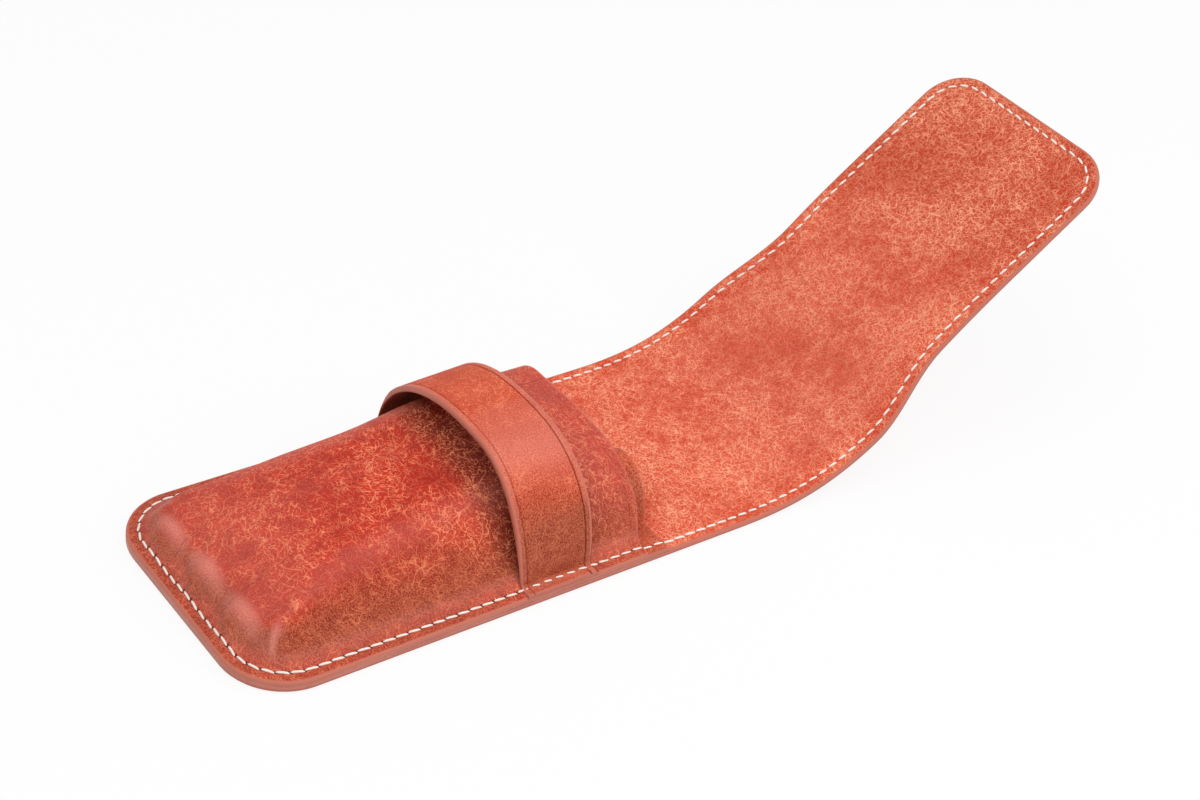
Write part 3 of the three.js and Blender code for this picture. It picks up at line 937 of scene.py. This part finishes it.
class PENCASE_OT_strips(bpy.types.Operator):
    """Cut, line and bend the two long strips of the back and the flap"""

    bl_idname = "pen_case.strips"
    bl_label = "Back and flap"

    ROW_STEP = 2 * MM
    INNER_STEPS = 12
    GROOVE = 0.28 * MM
    # Length past the mouth over which the lining comes out from under the front panel
    SHOWN_LENGTH = 4 * MM
    WAVE, WAVE_SIZE, EDGE_FADE = 0.22 * MM, 23 * MM, 6 * MM
    # Strengths and places of the pale middle of the flap and of the darkening towards its end
    PALE, PALE_MIDDLE, PALE_REACH, PALE_INSET = 0.22, 85 * MM, 45 * MM, 4 * MM
    RUBBED, RUBBED_START, RUBBED_LENGTH = 0.2, 75 * MM, 45 * MM

    def execute(self, context):
        case, colours = context.scene.pen_case_sizes, context.scene.pen_case_colours
        strip = Strip(case)
        outer_top, lining_top, _, _ = levels(case)
        outside = Hide(colours.front_deep, colours.front_mid, colours.front_fibre)
        outer = finish_set("outer_leather", outside, context.scene)
        inside = Hide(colours.lining_deep, colours.lining_mid, colours.lining_fibre, cover=1.0,
                      size=0.85, least=0.4, clouds=30 * MM, holes=0.15)
        lining = finish_set("lining_leather", inside, context.scene)
        # The outer strip shows its grain below, so its faces change places
        outer = [outer[1], outer[0], outer[2]]
        layers = (("outer", 0.0, outer_top, outer, "outer_leather"),
                  ("lining", outer_top, lining_top, lining, "lining_leather"))
        for layer, base, top, finishes, slot in layers:
            for upper in (False, True):
                part = "upper" if upper else "lower"
                piece = self.cut(strip, f"{layer}_{part}", base, top, upper, finishes)
                follow_fold(piece, strip, upper)
                nodes = ["flap_tongue"] if upper else ["back", "flap_spine"]
                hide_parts(*[f"{node}_{layer}" for node in nodes])
        return {"FINISHED"}

    def cut(self, strip, name, base, top, upper, finishes):
        """One part of one layer, between the split and an end."""
        case = strip.case
        split = strip.body + case.split
        if upper:
            reach = strip.length - EDGE_ROWS[-1]
            middle = evenly(split, reach, round((reach - split) / self.ROW_STEP))
            along = middle + [strip.length - row for row in reversed(EDGE_ROWS[:-1])]
        else:
            middle = evenly(EDGE_ROWS[-1], split, round((split - EDGE_ROWS[-1]) / self.ROW_STEP))
            along = EDGE_ROWS[:-1] + middle
        outer = base == 0

        def place(first, second, above):
            side, inset = inset_at(second, strip.half_width(first))
            flat_x, flat_y, path, edge = strip.ring(first, side, inset)
            worked = edge_drop(edge, case.edge_radius) + seam_groove(case, edge, self.GROOVE)
            shown = smooth((flat_x - strip.body) / self.SHOWN_LENGTH)
            height = top if above else base
            if outer and not above:
                height += worked
            if not outer and above:
                height -= worked * shown
                wave = noise.noise(Vector((flat_x, flat_y, 0)) / self.WAVE_SIZE)
                height += self.WAVE * wave * shown * smooth(edge / self.EDGE_FADE)
            pale = self.PALE * bump(flat_x - strip.body - self.PALE_MIDDLE, self.PALE_REACH)
            pale *= smooth((edge - self.PALE_INSET) / self.EDGE_FADE)
            past_start = flat_x - strip.length + self.RUBBED_START
            tones = (0, pale, 0, self.RUBBED * smooth(past_start / self.RUBBED_LENGTH))
            return strip.point(flat_x, flat_y, height), (flat_x, flat_y), (path, edge), tones

        return make_sheet(name, along, across_stations(EDGE_ROWS, self.INNER_STEPS), place, finishes)


class PENCASE_OT_front_panel(bpy.types.Operator):
    """Mould the front panel and its flange"""

    bl_idname = "pen_case.front_panel"
    bl_label = "Front panel"

    # Rows of points in from the mouth, in millimetres, and steps of the wall, the top and across
    MOUTH_ROWS = (0, 0.12, 0.35, 0.7, 1.2, 2.2, 2.8, 3.1, 3.4, 4, 5)
    WALL_END = 34 * MM
    WALL_STEPS, TOP_STEPS, INNER_STEPS = 36, 40, 34
    SLOPE_STEP = 0.3 * MM
    # Places across, of faint long creases painted as dark lines of shade
    WRINKLES = (-13 * MM, 12.5 * MM)
    GROOVE = 0.3 * MM
    MOUTH_ROUNDING = 0.4 * MM
    # A crease in from the mouth, pressed in and darkened with painted shade
    CREASE_INSET, CREASE_WIDTH, CREASE_DEPTH = 2.8 * MM, 0.25 * MM, 0.12 * MM
    CREASE_RISE, CREASE_DARK = 6 * MM, 0.2
    # How far up and along the mouth's edge draws back
    SLANT_RISE, SLANT_LENGTH = 7 * MM, 25 * MM
    # Brown: how steep and how high the walls are, and the flange
    WALL_SLOPE, WALL_EASE, WALL_RISE = 0.42, 1.3, 2.4 * MM
    FLANGE_BROWN, FLANGE_RISE = 0.68, 4.5 * MM
    # Painted pale sheen and highlights: strengths and places of the end wall's ridge, the shoulders, the
    # foot and the mouth; the lip is the pale cut edge at the mouth
    RIDGE_PALE, LUMP_PALE = 0.4, 0.95
    RIDGE_MIDDLE, RIDGE_REACH, RIDGE_RISE = 4.6 * MM, 2.3 * MM, 5 * MM
    SHOULDER_PALE, SHOULDER_SLOPE, SHOULDER_WIDTH, SHOULDER_RISE = 0.38, 0.5, 0.4, 10 * MM
    FOOT_PALE, FOOT_RISE, FOOT_REACH = 0.42, 2 * MM, 1.6 * MM
    LIP_PALE, LIP_REACH = 0.7, 0.5 * MM
    MOUTH_PALE, MOUTH_REACH, MOUTH_EASE = 0.42, 22 * MM, 9 * MM
    # Painted shadow below the strap: strength, and reach from the strap, from the mouth and up from the
    # flange
    RUBBED, RUBBED_REACH, RUBBED_MOUTH, RUBBED_RISE = 0.72, 9 * MM, 30 * MM, 9 * MM

    def execute(self, context):
        case, colours = context.scene.pen_case_sizes, context.scene.pen_case_colours
        self.case, self.strip, self.hump = case, Strip(case), Hump(case)
        self.across_lines, self.along_lines = {}, {}
        self.base = levels(case)[2]
        mouth = [case.body_length - row * MM for row in reversed(self.MOUTH_ROWS)]
        wall = evenly(EDGE_ROWS[-1], self.WALL_END, self.WALL_STEPS)
        top = evenly(self.WALL_END, mouth[0], self.TOP_STEPS)
        along = [*EDGE_ROWS[:-1], *wall, *top[1:], *mouth[1:]]
        across = across_stations(EDGE_ROWS, self.INNER_STEPS)
        hide = Hide(colours.front_deep, colours.front_mid, colours.front_fibre, wrinkles=self.WRINKLES)
        finishes = finish_set("front_leather", hide, context.scene)
        piece = make_sheet("front_panel_leather", along, across, self.place, finishes)
        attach(piece, "case_body")
        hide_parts("front_panel")
        return {"FINISHED"}

    def place(self, first, second, above):
        case, hump = self.case, self.hump
        side, inset = inset_at(second, self.strip.half)
        x, y, path, edge = self.strip.ring(first, side, inset)
        # The hump follows the round corners, so its height is taken before they are rounded
        square = side * (self.strip.half - inset)
        z = hump.height(first, square)
        slope_x = slope_of(lambda along: hump.height(along, square), first, self.SLOPE_STEP)
        slope_y = slope_of(lambda across: hump.height(first, across), square, self.SLOPE_STEP)
        normal = Vector((-slope_x, -slope_y, 1)).normalized()
        rise = z - hump.top
        to_mouth = case.body_length - x
        crease = bump(to_mouth - self.CREASE_INSET, self.CREASE_WIDTH) * smooth(rise / self.CREASE_RISE)
        point = Vector((x, y, z))
        if above:
            point.z -= edge_drop(edge, case.edge_radius) + seam_groove(case, edge, self.GROOVE)
            point -= normal * (edge_drop(to_mouth, self.MOUTH_ROUNDING) + self.CREASE_DEPTH * crease)
        else:
            point = underside(point, normal, case.front_thickness, self.base)
        point.y += hump.lean(x, rise)
        slant = case.body_length - self.strip.nearest_hole(case.body_length - case.mouth_slant)
        slant *= bump(rise, self.SLANT_RISE) * smooth(1 - to_mouth / self.SLANT_LENGTH)
        point.x += BOTTOM_END - slant
        steep = math.hypot(slope_x, slope_y)
        wall, bloom, rubbed = self.tones(x, rise, steep, hump.lobes(square), hump.corner(first, square))
        flat = self.flat_place(first, square)
        return point, flat, (path, edge), (wall, bloom, crease * self.CREASE_DARK, rubbed)

    def tones(self, x, rise, steep, lobes, corner):
        """How brown the leather is, its pale edge and painted sheen, and the painted shadow below the
        strap.
        """
        to_mouth = self.case.body_length - x
        flange = self.FLANGE_BROWN * (1 - smooth(rise / self.FLANGE_RISE))
        steepness = smooth((steep - self.WALL_SLOPE) / self.WALL_EASE)
        wall = max(steepness * smooth(rise / self.WALL_RISE), flange)
        ridge = bump(x - self.case.hump_end - self.RIDGE_MIDDLE, self.RIDGE_REACH)
        ridge *= (self.RIDGE_PALE + self.LUMP_PALE * math.sqrt(lobes)) * smooth(rise / self.RIDGE_RISE)
        shoulder = self.SHOULDER_PALE * bump(steep - self.SHOULDER_SLOPE, self.SHOULDER_WIDTH)
        shoulder *= smooth(rise / self.SHOULDER_RISE)
        foot = self.FOOT_PALE * bump(rise - self.FOOT_RISE, self.FOOT_REACH)
        lip = self.LIP_PALE * bump(to_mouth, self.LIP_REACH)
        # Painted sheen over the top towards the mouth
        lip += self.MOUTH_PALE * smooth((self.MOUTH_REACH - to_mouth) / self.MOUTH_EASE) * (1 - wall)
        to_strap = STRAP_LOW.x - BOTTOM_END - x
        rubbed = self.RUBBED * smooth(1 - to_strap / self.RUBBED_REACH)
        rubbed *= smooth(to_mouth / self.RUBBED_MOUTH) * smooth(rise / self.RUBBED_RISE)
        return wall, max(ridge, shoulder, foot, corner, lip), rubbed

    def flat_place(self, x, y):
        """Where a point lay before the leather was moulded."""
        across = self.girth(self.across_lines, x, abs(y), self.strip.half,
                            lambda place: self.hump.height(x, place))
        ahead = self.girth(self.along_lines, round(y, 5), x, self.case.body_length,
                           lambda place: self.hump.height(place, y))
        return ahead, math.copysign(across, y)

    def girth(self, lines, key, place, reach, height):
        """Length over the moulded surface to a place on a line, which is measured once."""
        if key not in lines:
            lines[key] = girths(height, reach, round(reach / MM))
        return read_girth(lines[key], place / reach)


class PENCASE_OT_strap(bpy.types.Operator):
    """Arch the strap across the front"""

    bl_idname = "pen_case.strap"
    bl_label = "Strap"

    # Rows of points in from the long edges, beside the creases and in from the sewn ends, in millimetres
    SIDE_ROWS = (0, 0.12, 0.35, 0.7, 1.2)
    CREASE_ROWS = (-0.5, -0.28, -0.14, 0, 0.14, 0.28, 0.6, 1.6)
    END_ROWS = (0, 0.12, 0.35, 0.8, 1.6, 2.6)
    BAND_STEPS, ARCH_STEPS = 8, 96
    SLOPE_STEP = 0.2 * MM
    GROOVE = 0.25 * MM
    ROUNDING, ROUNDING_BELOW = 0.6 * MM, 0.6
    CREASE_WIDTH, CREASE_DEPTH = 0.16 * MM, 0.28 * MM
    # Strength of the painted shade in the crease along the lower edge, and how much more it has along the
    # upper edge
    CREASE_DARK, CREASE_MORE = 0.55, 0.35
    # Brown: how steep the sides are, and the sewn ends
    WALL_BROWN, WALL_SLOPE, WALL_EASE = 0.95, 0.5, 1.7
    FOOT_BROWN, FOOT_INSET, FOOT_EASE = 0.55, 2.4 * MM, 1.5 * MM
    # Pale: the bands outside the creases, less on the sides, and a painted sheen on the near shoulder
    BAND_PALE, BAND_LESS, BAND_EASE = 0.55, 0.4, 0.6 * MM
    SHOULDER_PALE, SHOULDER_SLOPE, SHOULDER_WIDTH = 0.75, 0.4, 0.4
    # Darkening on the steep sides
    RUBBED = 0.14

    def execute(self, context):
        case, colours = context.scene.pen_case_sizes, context.scene.pen_case_colours
        self.case, self.arch = case, StrapArch(case)
        self.width = self.arch.width
        self.lengths = girths(lambda y: self.arch.height(0.5, y), self.arch.half, GIRTH_STEPS)
        rows = (*self.SIDE_ROWS, *(case.crease_inset / MM + row for row in self.CREASE_ROWS))
        low = [row * MM for row in rows]
        along = [*low, *evenly(low[-1], self.width - low[-1], self.BAND_STEPS)[1:-1],
                 *[self.width - row for row in reversed(low)]]
        arch = [math.sin(step * math.pi / 2) for step in evenly(-1, 1, self.ARCH_STEPS)]
        feet = [1 + (case.strap_foot - row * MM) / self.arch.foot for row in self.END_ROWS]
        across = [*[-foot for foot in feet], *arch, *reversed(feet)]
        hide = Hide(colours.strap_deep, colours.strap_mid, colours.front_fibre, fibres=0.6,
                    grainy=0.7, holes=0)
        finishes = finish_set("strap_leather", hide, context.scene)
        piece = make_sheet("strap_band", along, across, self.place, finishes)
        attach(piece, "case_body")
        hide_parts("strap")
        return {"FINISHED"}

    def place(self, first, second, above):
        case, arch = self.case, self.arch
        share = first / self.width
        y = second * arch.foot
        slope = slope_of(lambda across: arch.height(share, across), y, self.SLOPE_STEP)
        normal = Vector((0, -slope, 1)).normalized()
        inset = min(first, self.width - first)
        to_end = arch.half - abs(y)
        crease = bump(inset - case.crease_inset, self.CREASE_WIDTH)
        crease *= self.CREASE_DARK + self.CREASE_MORE * smooth(share)
        round_off = edge_drop(inset, self.ROUNDING) + edge_drop(to_end, self.ROUNDING)
        point = Vector((0, y, arch.height(share, y)))
        if above:
            groove = seam_groove(case, to_end, self.GROOVE)
            point -= normal * (round_off + groove + self.CREASE_DEPTH * crease)
        else:
            thickness = arch.thickness(y) - round_off * self.ROUNDING_BELOW
            point = underside(point, normal, thickness, arch.base)
        point.x = STRAP_LOW.x + first
        foot = self.FOOT_BROWN * (1 - smooth((to_end - self.FOOT_INSET) / self.FOOT_EASE))
        wall = max(smooth((abs(slope) - self.WALL_SLOPE) / self.WALL_EASE) * self.WALL_BROWN, foot)
        band = smooth((case.crease_inset - inset) / self.BAND_EASE)
        band *= self.BAND_PALE - self.BAND_LESS * wall
        # Painted sheen on the near shoulder only
        near = self.SHOULDER_PALE if y < 0 else 0
        bloom = max(bump(abs(slope) - self.SHOULDER_SLOPE, self.SHOULDER_WIDTH) * near, band)
        flat = (first, over_curve(self.lengths, y, arch.half))
        return point, flat, (0, min(inset, to_end)), (wall, bloom, crease, self.RUBBED * wall)


class PENCASE_OT_divider(bpy.types.Operator):
    """Mould the pen divider and its channels"""

    bl_idname = "pen_case.divider"
    bl_label = "Pen divider"

    # Rows of points in from the end at the mouth, in millimetres, and steps along and across
    END_ROWS = (0, 0.12, 0.35, 0.8, 1.6, 3)
    CORNER_STEPS, CHANNEL_STEPS, INNER_STEPS = 6, 36, 60
    SLOPE_STEP = 0.2 * MM
    # Channels: power of their section, where they rise from the flat sheet, and their hollow edges
    FULLNESS = 2.4
    CHANNEL_START, CHANNEL_RISE = 11.2 * MM, 40 * MM
    FILLET, LEAST_FILLET = 2.4 * MM, 0.01 * MM
    ROUNDING = 0.3 * MM
    # Flat edges, which end at a stitch hole near the mouth
    FLANGE_START, FLANGE_EASE, FLANGE_LENGTH = 28 * MM, 4 * MM, 12 * MM
    BROWN, WALL_SLOPE, WALL_EASE = (0.5, 0.85), 0.3, 1.2
    LIP_PALE, LIP_REACH = 0.5, 0.5 * MM

    def execute(self, context):
        case, colours = context.scene.pen_case_sizes, context.scene.pen_case_colours
        self.case, self.strip, self.lean = case, Strip(case), Hump(case).lean
        self.base = levels(case)[1]
        end = [DIVIDER_REACH - row * MM for row in reversed(self.END_ROWS)]
        corner = EDGE_ROWS[:-1] + evenly(EDGE_ROWS[-1], case.bottom_radius, self.CORNER_STEPS)
        along = [*corner, *evenly(case.bottom_radius, end[0], self.CHANNEL_STEPS)[1:-1], *end]
        across = across_stations(EDGE_ROWS, self.INNER_STEPS)
        self.lengths = girths(lambda y: self.height(DIVIDER_REACH, y), self.strip.half, GIRTH_STEPS)
        hide = Hide(colours.strap_deep, colours.strap_mid, colours.front_fibre, fibres=0.8,
                    least=0.6, grainy=0.7)
        finishes = finish_set("divider_leather", hide, context.scene)
        piece = make_sheet("pen_divider_leather", along, across, self.place, finishes)
        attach(piece, "case_body")
        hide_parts("pen_divider")
        return {"FINISHED"}

    def height(self, x, y):
        """Upper face of the divider over its flat sheet."""
        case = self.case
        near = min((-case.channel_pitch, 0, case.channel_pitch), key=lambda middle: abs(y - middle))
        share = abs(y - near) / (case.channel_width / 2 + case.divider_thickness)
        arch = 1 - share ** self.FULLNESS if share < 1 else 1 - share
        rising = smooth((x - self.CHANNEL_START) / self.CHANNEL_RISE)
        tall = case.channel_height * rising
        fillet = self.FILLET * rising + self.LEAST_FILLET
        return soft_floor(math.copysign(abs(arch) ** (1 / self.FULLNESS), arch) * tall, fillet)

    def place(self, first, second, above):
        case = self.case
        side, inset = inset_at(second, self.strip.half)
        x, y, path, edge = self.strip.ring(first, side, inset)
        z = self.height(x, y)
        slope = slope_of(lambda across: self.height(x, across), y, self.SLOPE_STEP)
        normal = Vector((0, -slope, 1)).normalized()
        to_end = DIVIDER_REACH - x
        point = Vector((x, y, self.base + case.divider_thickness + z))
        if above:
            point -= normal * edge_drop(to_end, self.ROUNDING)
        else:
            point = underside(point, normal, case.divider_thickness, self.base)
        drawn_back = DIVIDER_REACH - self.strip.nearest_hole(DIVIDER_REACH)
        drawn_back *= smooth((abs(y) - self.FLANGE_START) / self.FLANGE_EASE)
        point.x += BOTTOM_END - drawn_back * smooth(1 - to_end / self.FLANGE_LENGTH)
        point.y += self.lean(x, z)
        wall = between(self.BROWN, smooth((abs(slope) - self.WALL_SLOPE) / self.WALL_EASE))
        pale = self.LIP_PALE * bump(to_end, self.LIP_REACH)
        flat = (x, over_curve(self.lengths, y, self.strip.half))
        return point, flat, (path, edge), (wall, pale, 0, 0)


class PENCASE_OT_stitches(bpy.types.Operator):
    """Sew the layers together round the whole edge"""

    bl_idname = "pen_case.stitches"
    bl_label = "Stitches"

    GROUPS = ("front", "lining_lower", "lining_upper", "under_lower", "under_upper")
    # Way before the mouth where the front panel's stitches end
    FRONT_END = 1 * MM
    # A stitch lies askew. On the flap it is shorter, thinner and sunk in
    SLANT = math.radians(-7)
    FILL, PLUMP, SINK_LENGTH = (0.99, 0.76), (1.0, 0.95), 40 * MM
    # How deep the thread is drawn into the leather, above and below, and how far it stands up
    PRESSED, SUNK_ABOVE, SUNK_BELOW, LIFT = 0.2 * MM, 0.12 * MM, 0.16 * MM, 0.1 * MM
    HOLE_REACH = 0.3 * MM
    STRAP_LIFT, STRAP_REACH = 0.15 * MM, 0.6 * MM
    # Form of one stitch
    SEGMENTS, RINGS = 8, 7
    BLUNTNESS, DIP = 0.35, 0.2 * MM

    def execute(self, context):
        case = context.scene.pen_case_sizes
        self.case, self.strip, self.strap, self.hump = case, Strip(case), StrapArch(case), Hump(case)
        self.thread = sewing_thread(context.scene.pen_case_colours)
        self.tops = levels(case)
        split = self.strip.body + case.split
        groups = {name: [] for name in self.GROUPS}
        for side in (-1, 1):
            # The two stitches across the middle line are counted with the far side
            more = 1 if side > 0 else 0
            for hole in range(-more, self.strip.holes - 1 + more):
                ends = [(hole + 0.5 + step) * self.strip.pitch for step in (0, 1)]
                along = self.strip.seam(max(sum(ends) / 2, 0))[0]
                part = "upper" if along > split else "lower"
                shown = "front" if along < self.strip.body - self.FRONT_END else f"lining_{part}"
                groups[shown].append(self.stitch(ends, side, True))
                groups[f"under_{part}"].append(self.stitch(ends, side, False))
        for group, places in groups.items():
            piece = self.sew(f"stitches_{group}", places)
            if group == "front":
                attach(piece, "case_body")
            else:
                follow_fold(piece, self.strip, group.endswith("upper"))
        return {"FINISHED"}

    def seat(self, path):
        """Height of the leather that the stitches lie on, over the strip's outer face."""
        strip = self.strip
        _, lining, divider, _ = self.tops
        along, across = strip.square_seam(path)
        if along > strip.nearest_hole(DIVIDER_REACH):
            return lining
        if along > strip.nearest_hole(strip.body - self.case.mouth_slant):
            return divider
        panel = self.hump.height(along, across)
        x = BOTTOM_END + along
        over_strap = smooth((x - STRAP_LOW.x + self.STRAP_REACH) / (2 * self.STRAP_REACH))
        over_strap *= smooth((STRAP_HIGH.x + self.STRAP_REACH - x) / (2 * self.STRAP_REACH))
        strap = self.strap.height(0.5, across) + self.STRAP_LIFT
        return between((panel, strap), over_strap) - self.PRESSED

    def hole(self, path, inner, side, above):
        """A hole of the seam, as high as the leather is a little further in under its stitch."""
        mirrored = -side if path < 0 else side
        length = self.strip.seam_length
        if path > length:
            mirrored = -side
            path, inner = 2 * length - path, length
        along, across = self.strip.seam(abs(path))
        height = self.seat(abs(inner)) - self.SUNK_ABOVE if above else self.SUNK_BELOW
        return self.strip.point(along, mirrored * across, height), self.strip.turn(along)

    def stitch(self, ends, side, above):
        """Frame of one stitch between two holes, with its length and its thickness."""
        inners = (ends[0] + self.HOLE_REACH, ends[1] - self.HOLE_REACH)
        (first, turn), (second, _) = [self.hole(*paths, side, above) for paths in zip(ends, inners)]
        run = second - first
        normal = Vector((-math.sin(turn), 0, math.cos(turn))) * (1 if above else -1)
        along = self.strip.seam(abs(sum(ends) / 2))[0]
        sunk = smooth((along - self.strip.body) / self.SINK_LENGTH) if above else 1.0
        fill, plump = between(self.FILL, sunk), between(self.PLUMP, sunk)
        ahead = run.normalized()
        beside = normal.cross(ahead).normalized()
        ahead = (ahead * math.cos(self.SLANT) + beside * math.sin(self.SLANT)).normalized()
        beside = normal.cross(ahead).normalized()
        up = ahead.cross(beside)
        middle = (first + second) / 2 + up * self.LIFT
        turned = Matrix((ahead, beside, up)).transposed().to_4x4()
        sized = Matrix.Diagonal((run.length * fill, plump, plump, 1))
        return Matrix.Translation(middle) @ turned @ sized

    def sew(self, name, places):
        """One row of stitches, each a copy of one plump stitch."""
        bpy.ops.object.select_all(action="DESELECT")
        bpy.ops.mesh.primitive_uv_sphere_add(segments=self.SEGMENTS, ring_count=self.RINGS, radius=0.5)
        first = bpy.context.object
        first.data.transform(Matrix.Rotation(math.pi / 2, 4, "Y"))
        for point in first.data.vertices:
            # Blunt ends that dip into the holes
            bluntness = 1 - (abs(point.co.x) * 2) ** 4 * self.BLUNTNESS
            radius = math.hypot(point.co.y, point.co.z)
            if radius > 1e-6:
                full = math.sqrt(max(1 - (2 * point.co.x) ** 6, 0.0)) * self.case.thread / 2
                point.co.y *= full / radius * bluntness
                point.co.z *= full / radius * bluntness
            point.co.z -= self.DIP * (2 * point.co.x) ** 4
        first.name = first.data.name = name
        first.data.materials.append(self.thread)
        copies = [first]
        for _ in places[1:]:
            copy = first.copy()
            copy.data = first.data.copy()
            bpy.context.collection.objects.link(copy)
            copies.append(copy)
        for copy, place in zip(copies, places):
            copy.data.transform(place)
            copy.select_set(True)
        bpy.context.view_layer.objects.active = first
        bpy.ops.object.join()
        bpy.ops.object.shade_smooth()
        return first


# Stage

class PENCASE_OT_stage(bpy.types.Operator):
    """Set the floor, the light and the camera"""

    bl_idname = "pen_case.stage"
    bl_label = "Stage"

    FLOOR_SIZE, FLOOR_LEVEL, FLOOR_ROUGHNESS = 6, -0.2 * MM, 0.9
    # Sizes of the lamps, and their places seen from the camera's target
    KEY_SIZE, KEY_PLACE = 1.1, (-0.30, -0.22, 0.90)
    SIDE_SIZE, SIDE_PLACE = 0.8, (0.60, -0.55, 0.62)
    SENSOR_WIDTH, CLIP_START = 36, 0.01

    def execute(self, context):
        stage = context.scene.pen_case_stage
        context.scene.view_settings.view_transform = "Standard"
        self.lay_floor(stage)
        self.light(context.scene, stage)
        self.set_camera(context.scene, stage)
        return {"FINISHED"}

    def shown_white(self, finish):
        """1 where a ray comes from the camera, a mirror or glass."""
        rays = ("Is Camera Ray", "Is Glossy Ray", "Is Transmission Ray")
        camera, glossy, through = finish.outputs("ShaderNodeLightPath", {}, rays)
        return camera.most(glossy).most(through)

    def lay_floor(self, stage):
        bpy.ops.object.select_all(action="DESELECT")
        bpy.ops.mesh.primitive_plane_add(size=self.FLOOR_SIZE, location=(0, 0, self.FLOOR_LEVEL))
        floor = bpy.context.object
        floor.name = "floor"
        bpy.ops.object.transform_apply(location=True)
        finish = Finish("floor")
        finish.set(Base_Color=stage.floor, Roughness=self.FLOOR_ROUGHNESS)
        plain = Wire(finish.tree, finish.shader.outputs[0])
        glow = finish.node("ShaderNodeEmission", {}, {"Color": (1, 1, 1), "Strength": 1})
        lit = finish.mix_shaders(self.shown_white(finish) * stage.floor_white, plain, glow)
        # Seen from below, the floor is clear
        clear = finish.node("ShaderNodeBsdfTransparent", {}, {})
        behind = finish.node("ShaderNodeNewGeometry", {}, {}, output="Backfacing")
        sided = finish.mix_shaders(behind, lit, clear)
        join(finish.tree, finish.tree.nodes["Material Output"].inputs["Surface"], sided)
        floor.data.materials.append(finish.material)

    def light(self, scene, stage):
        world = bpy.data.worlds.new("studio")
        scene.world = world
        world.use_nodes = True
        tree = world.node_tree
        sky = tree.nodes["Background"]
        sky.inputs["Color"].default_value = (1, 1, 1, 1)
        white = self.shown_white(Nodes(tree))
        join(tree, sky.inputs["Strength"], between((stage.sky, 1), white))
        target = Vector(stage.target)
        for name, power, size, place in (("key", stage.key, self.KEY_SIZE, self.KEY_PLACE),
                                         ("side", stage.side_light, self.SIDE_SIZE, self.SIDE_PLACE)):
            bpy.ops.object.light_add(type="AREA", location=target + Vector(place))
            lamp = bpy.context.object
            lamp.name = name
            lamp.data.energy = power
            lamp.data.shape = "DISK"
            lamp.data.size = size
            lamp.rotation_euler = (-Vector(place)).to_track_quat("-Z", "Y").to_euler()

    def set_camera(self, scene, stage):
        turn, lift, roll = stage.azimuth, stage.elevation, stage.roll
        level = math.cos(lift)
        back = Vector((math.sin(turn) * level, -math.cos(turn) * level, math.sin(lift)))
        right = (-back).cross(Vector((0, 0, 1))).normalized()
        up = right.cross(-back)
        tilted = right * math.cos(roll) + up * math.sin(roll)
        upward = up * math.cos(roll) - right * math.sin(roll)
        bpy.ops.object.camera_add()
        camera = bpy.context.object
        camera.name = "camera"
        camera.data.sensor_width = self.SENSOR_WIDTH
        camera.data.lens = stage.lens
        camera.data.clip_start = self.CLIP_START
        place = Vector(stage.target) + back * stage.distance
        turned = Matrix((tilted, upward, back)).transposed().to_4x4()
        camera.matrix_world = Matrix.Translation(place) @ turned
        scene.camera = camera


# Panel and registration

class PENCASE_PT_panel(bpy.types.Panel):
    """Lists the pieces of the pen case in the order that they are made."""

    bl_idname = "PENCASE_PT_panel"
    bl_label = "Pen case"
    bl_space_type = "VIEW_3D"
    bl_region_type = "UI"
    bl_category = "Pen case"

    def draw(self, context):
        for operator in OPERATORS:
            self.layout.operator(operator.bl_idname)


OPERATORS = (PENCASE_OT_stage, PENCASE_OT_strips, PENCASE_OT_divider, PENCASE_OT_front_panel,
             PENCASE_OT_strap, PENCASE_OT_stitches)
CLASSES = (CaseSizes, CaseColours, StageSettings, *OPERATORS, PENCASE_PT_panel)


def register():
    for item in CLASSES:
        bpy.utils.register_class(item)
    bpy.types.Scene.pen_case_sizes = PointerProperty(type=CaseSizes)
    bpy.types.Scene.pen_case_colours = PointerProperty(type=CaseColours)
    bpy.types.Scene.pen_case_stage = PointerProperty(type=StageSettings)


def unregister():
    del bpy.types.Scene.pen_case_stage
    del bpy.types.Scene.pen_case_colours
    del bpy.types.Scene.pen_case_sizes
    for item in reversed(CLASSES):
        bpy.utils.unregister_class(item)


def main():
    register()
    bpy.ops.pen_case.stage()
    bpy.ops.pen_case.strips()
    bpy.ops.pen_case.divider()
    bpy.ops.pen_case.front_panel()
    bpy.ops.pen_case.strap()
    bpy.ops.pen_case.stitches()


if __name__ == "__main__":
    main()
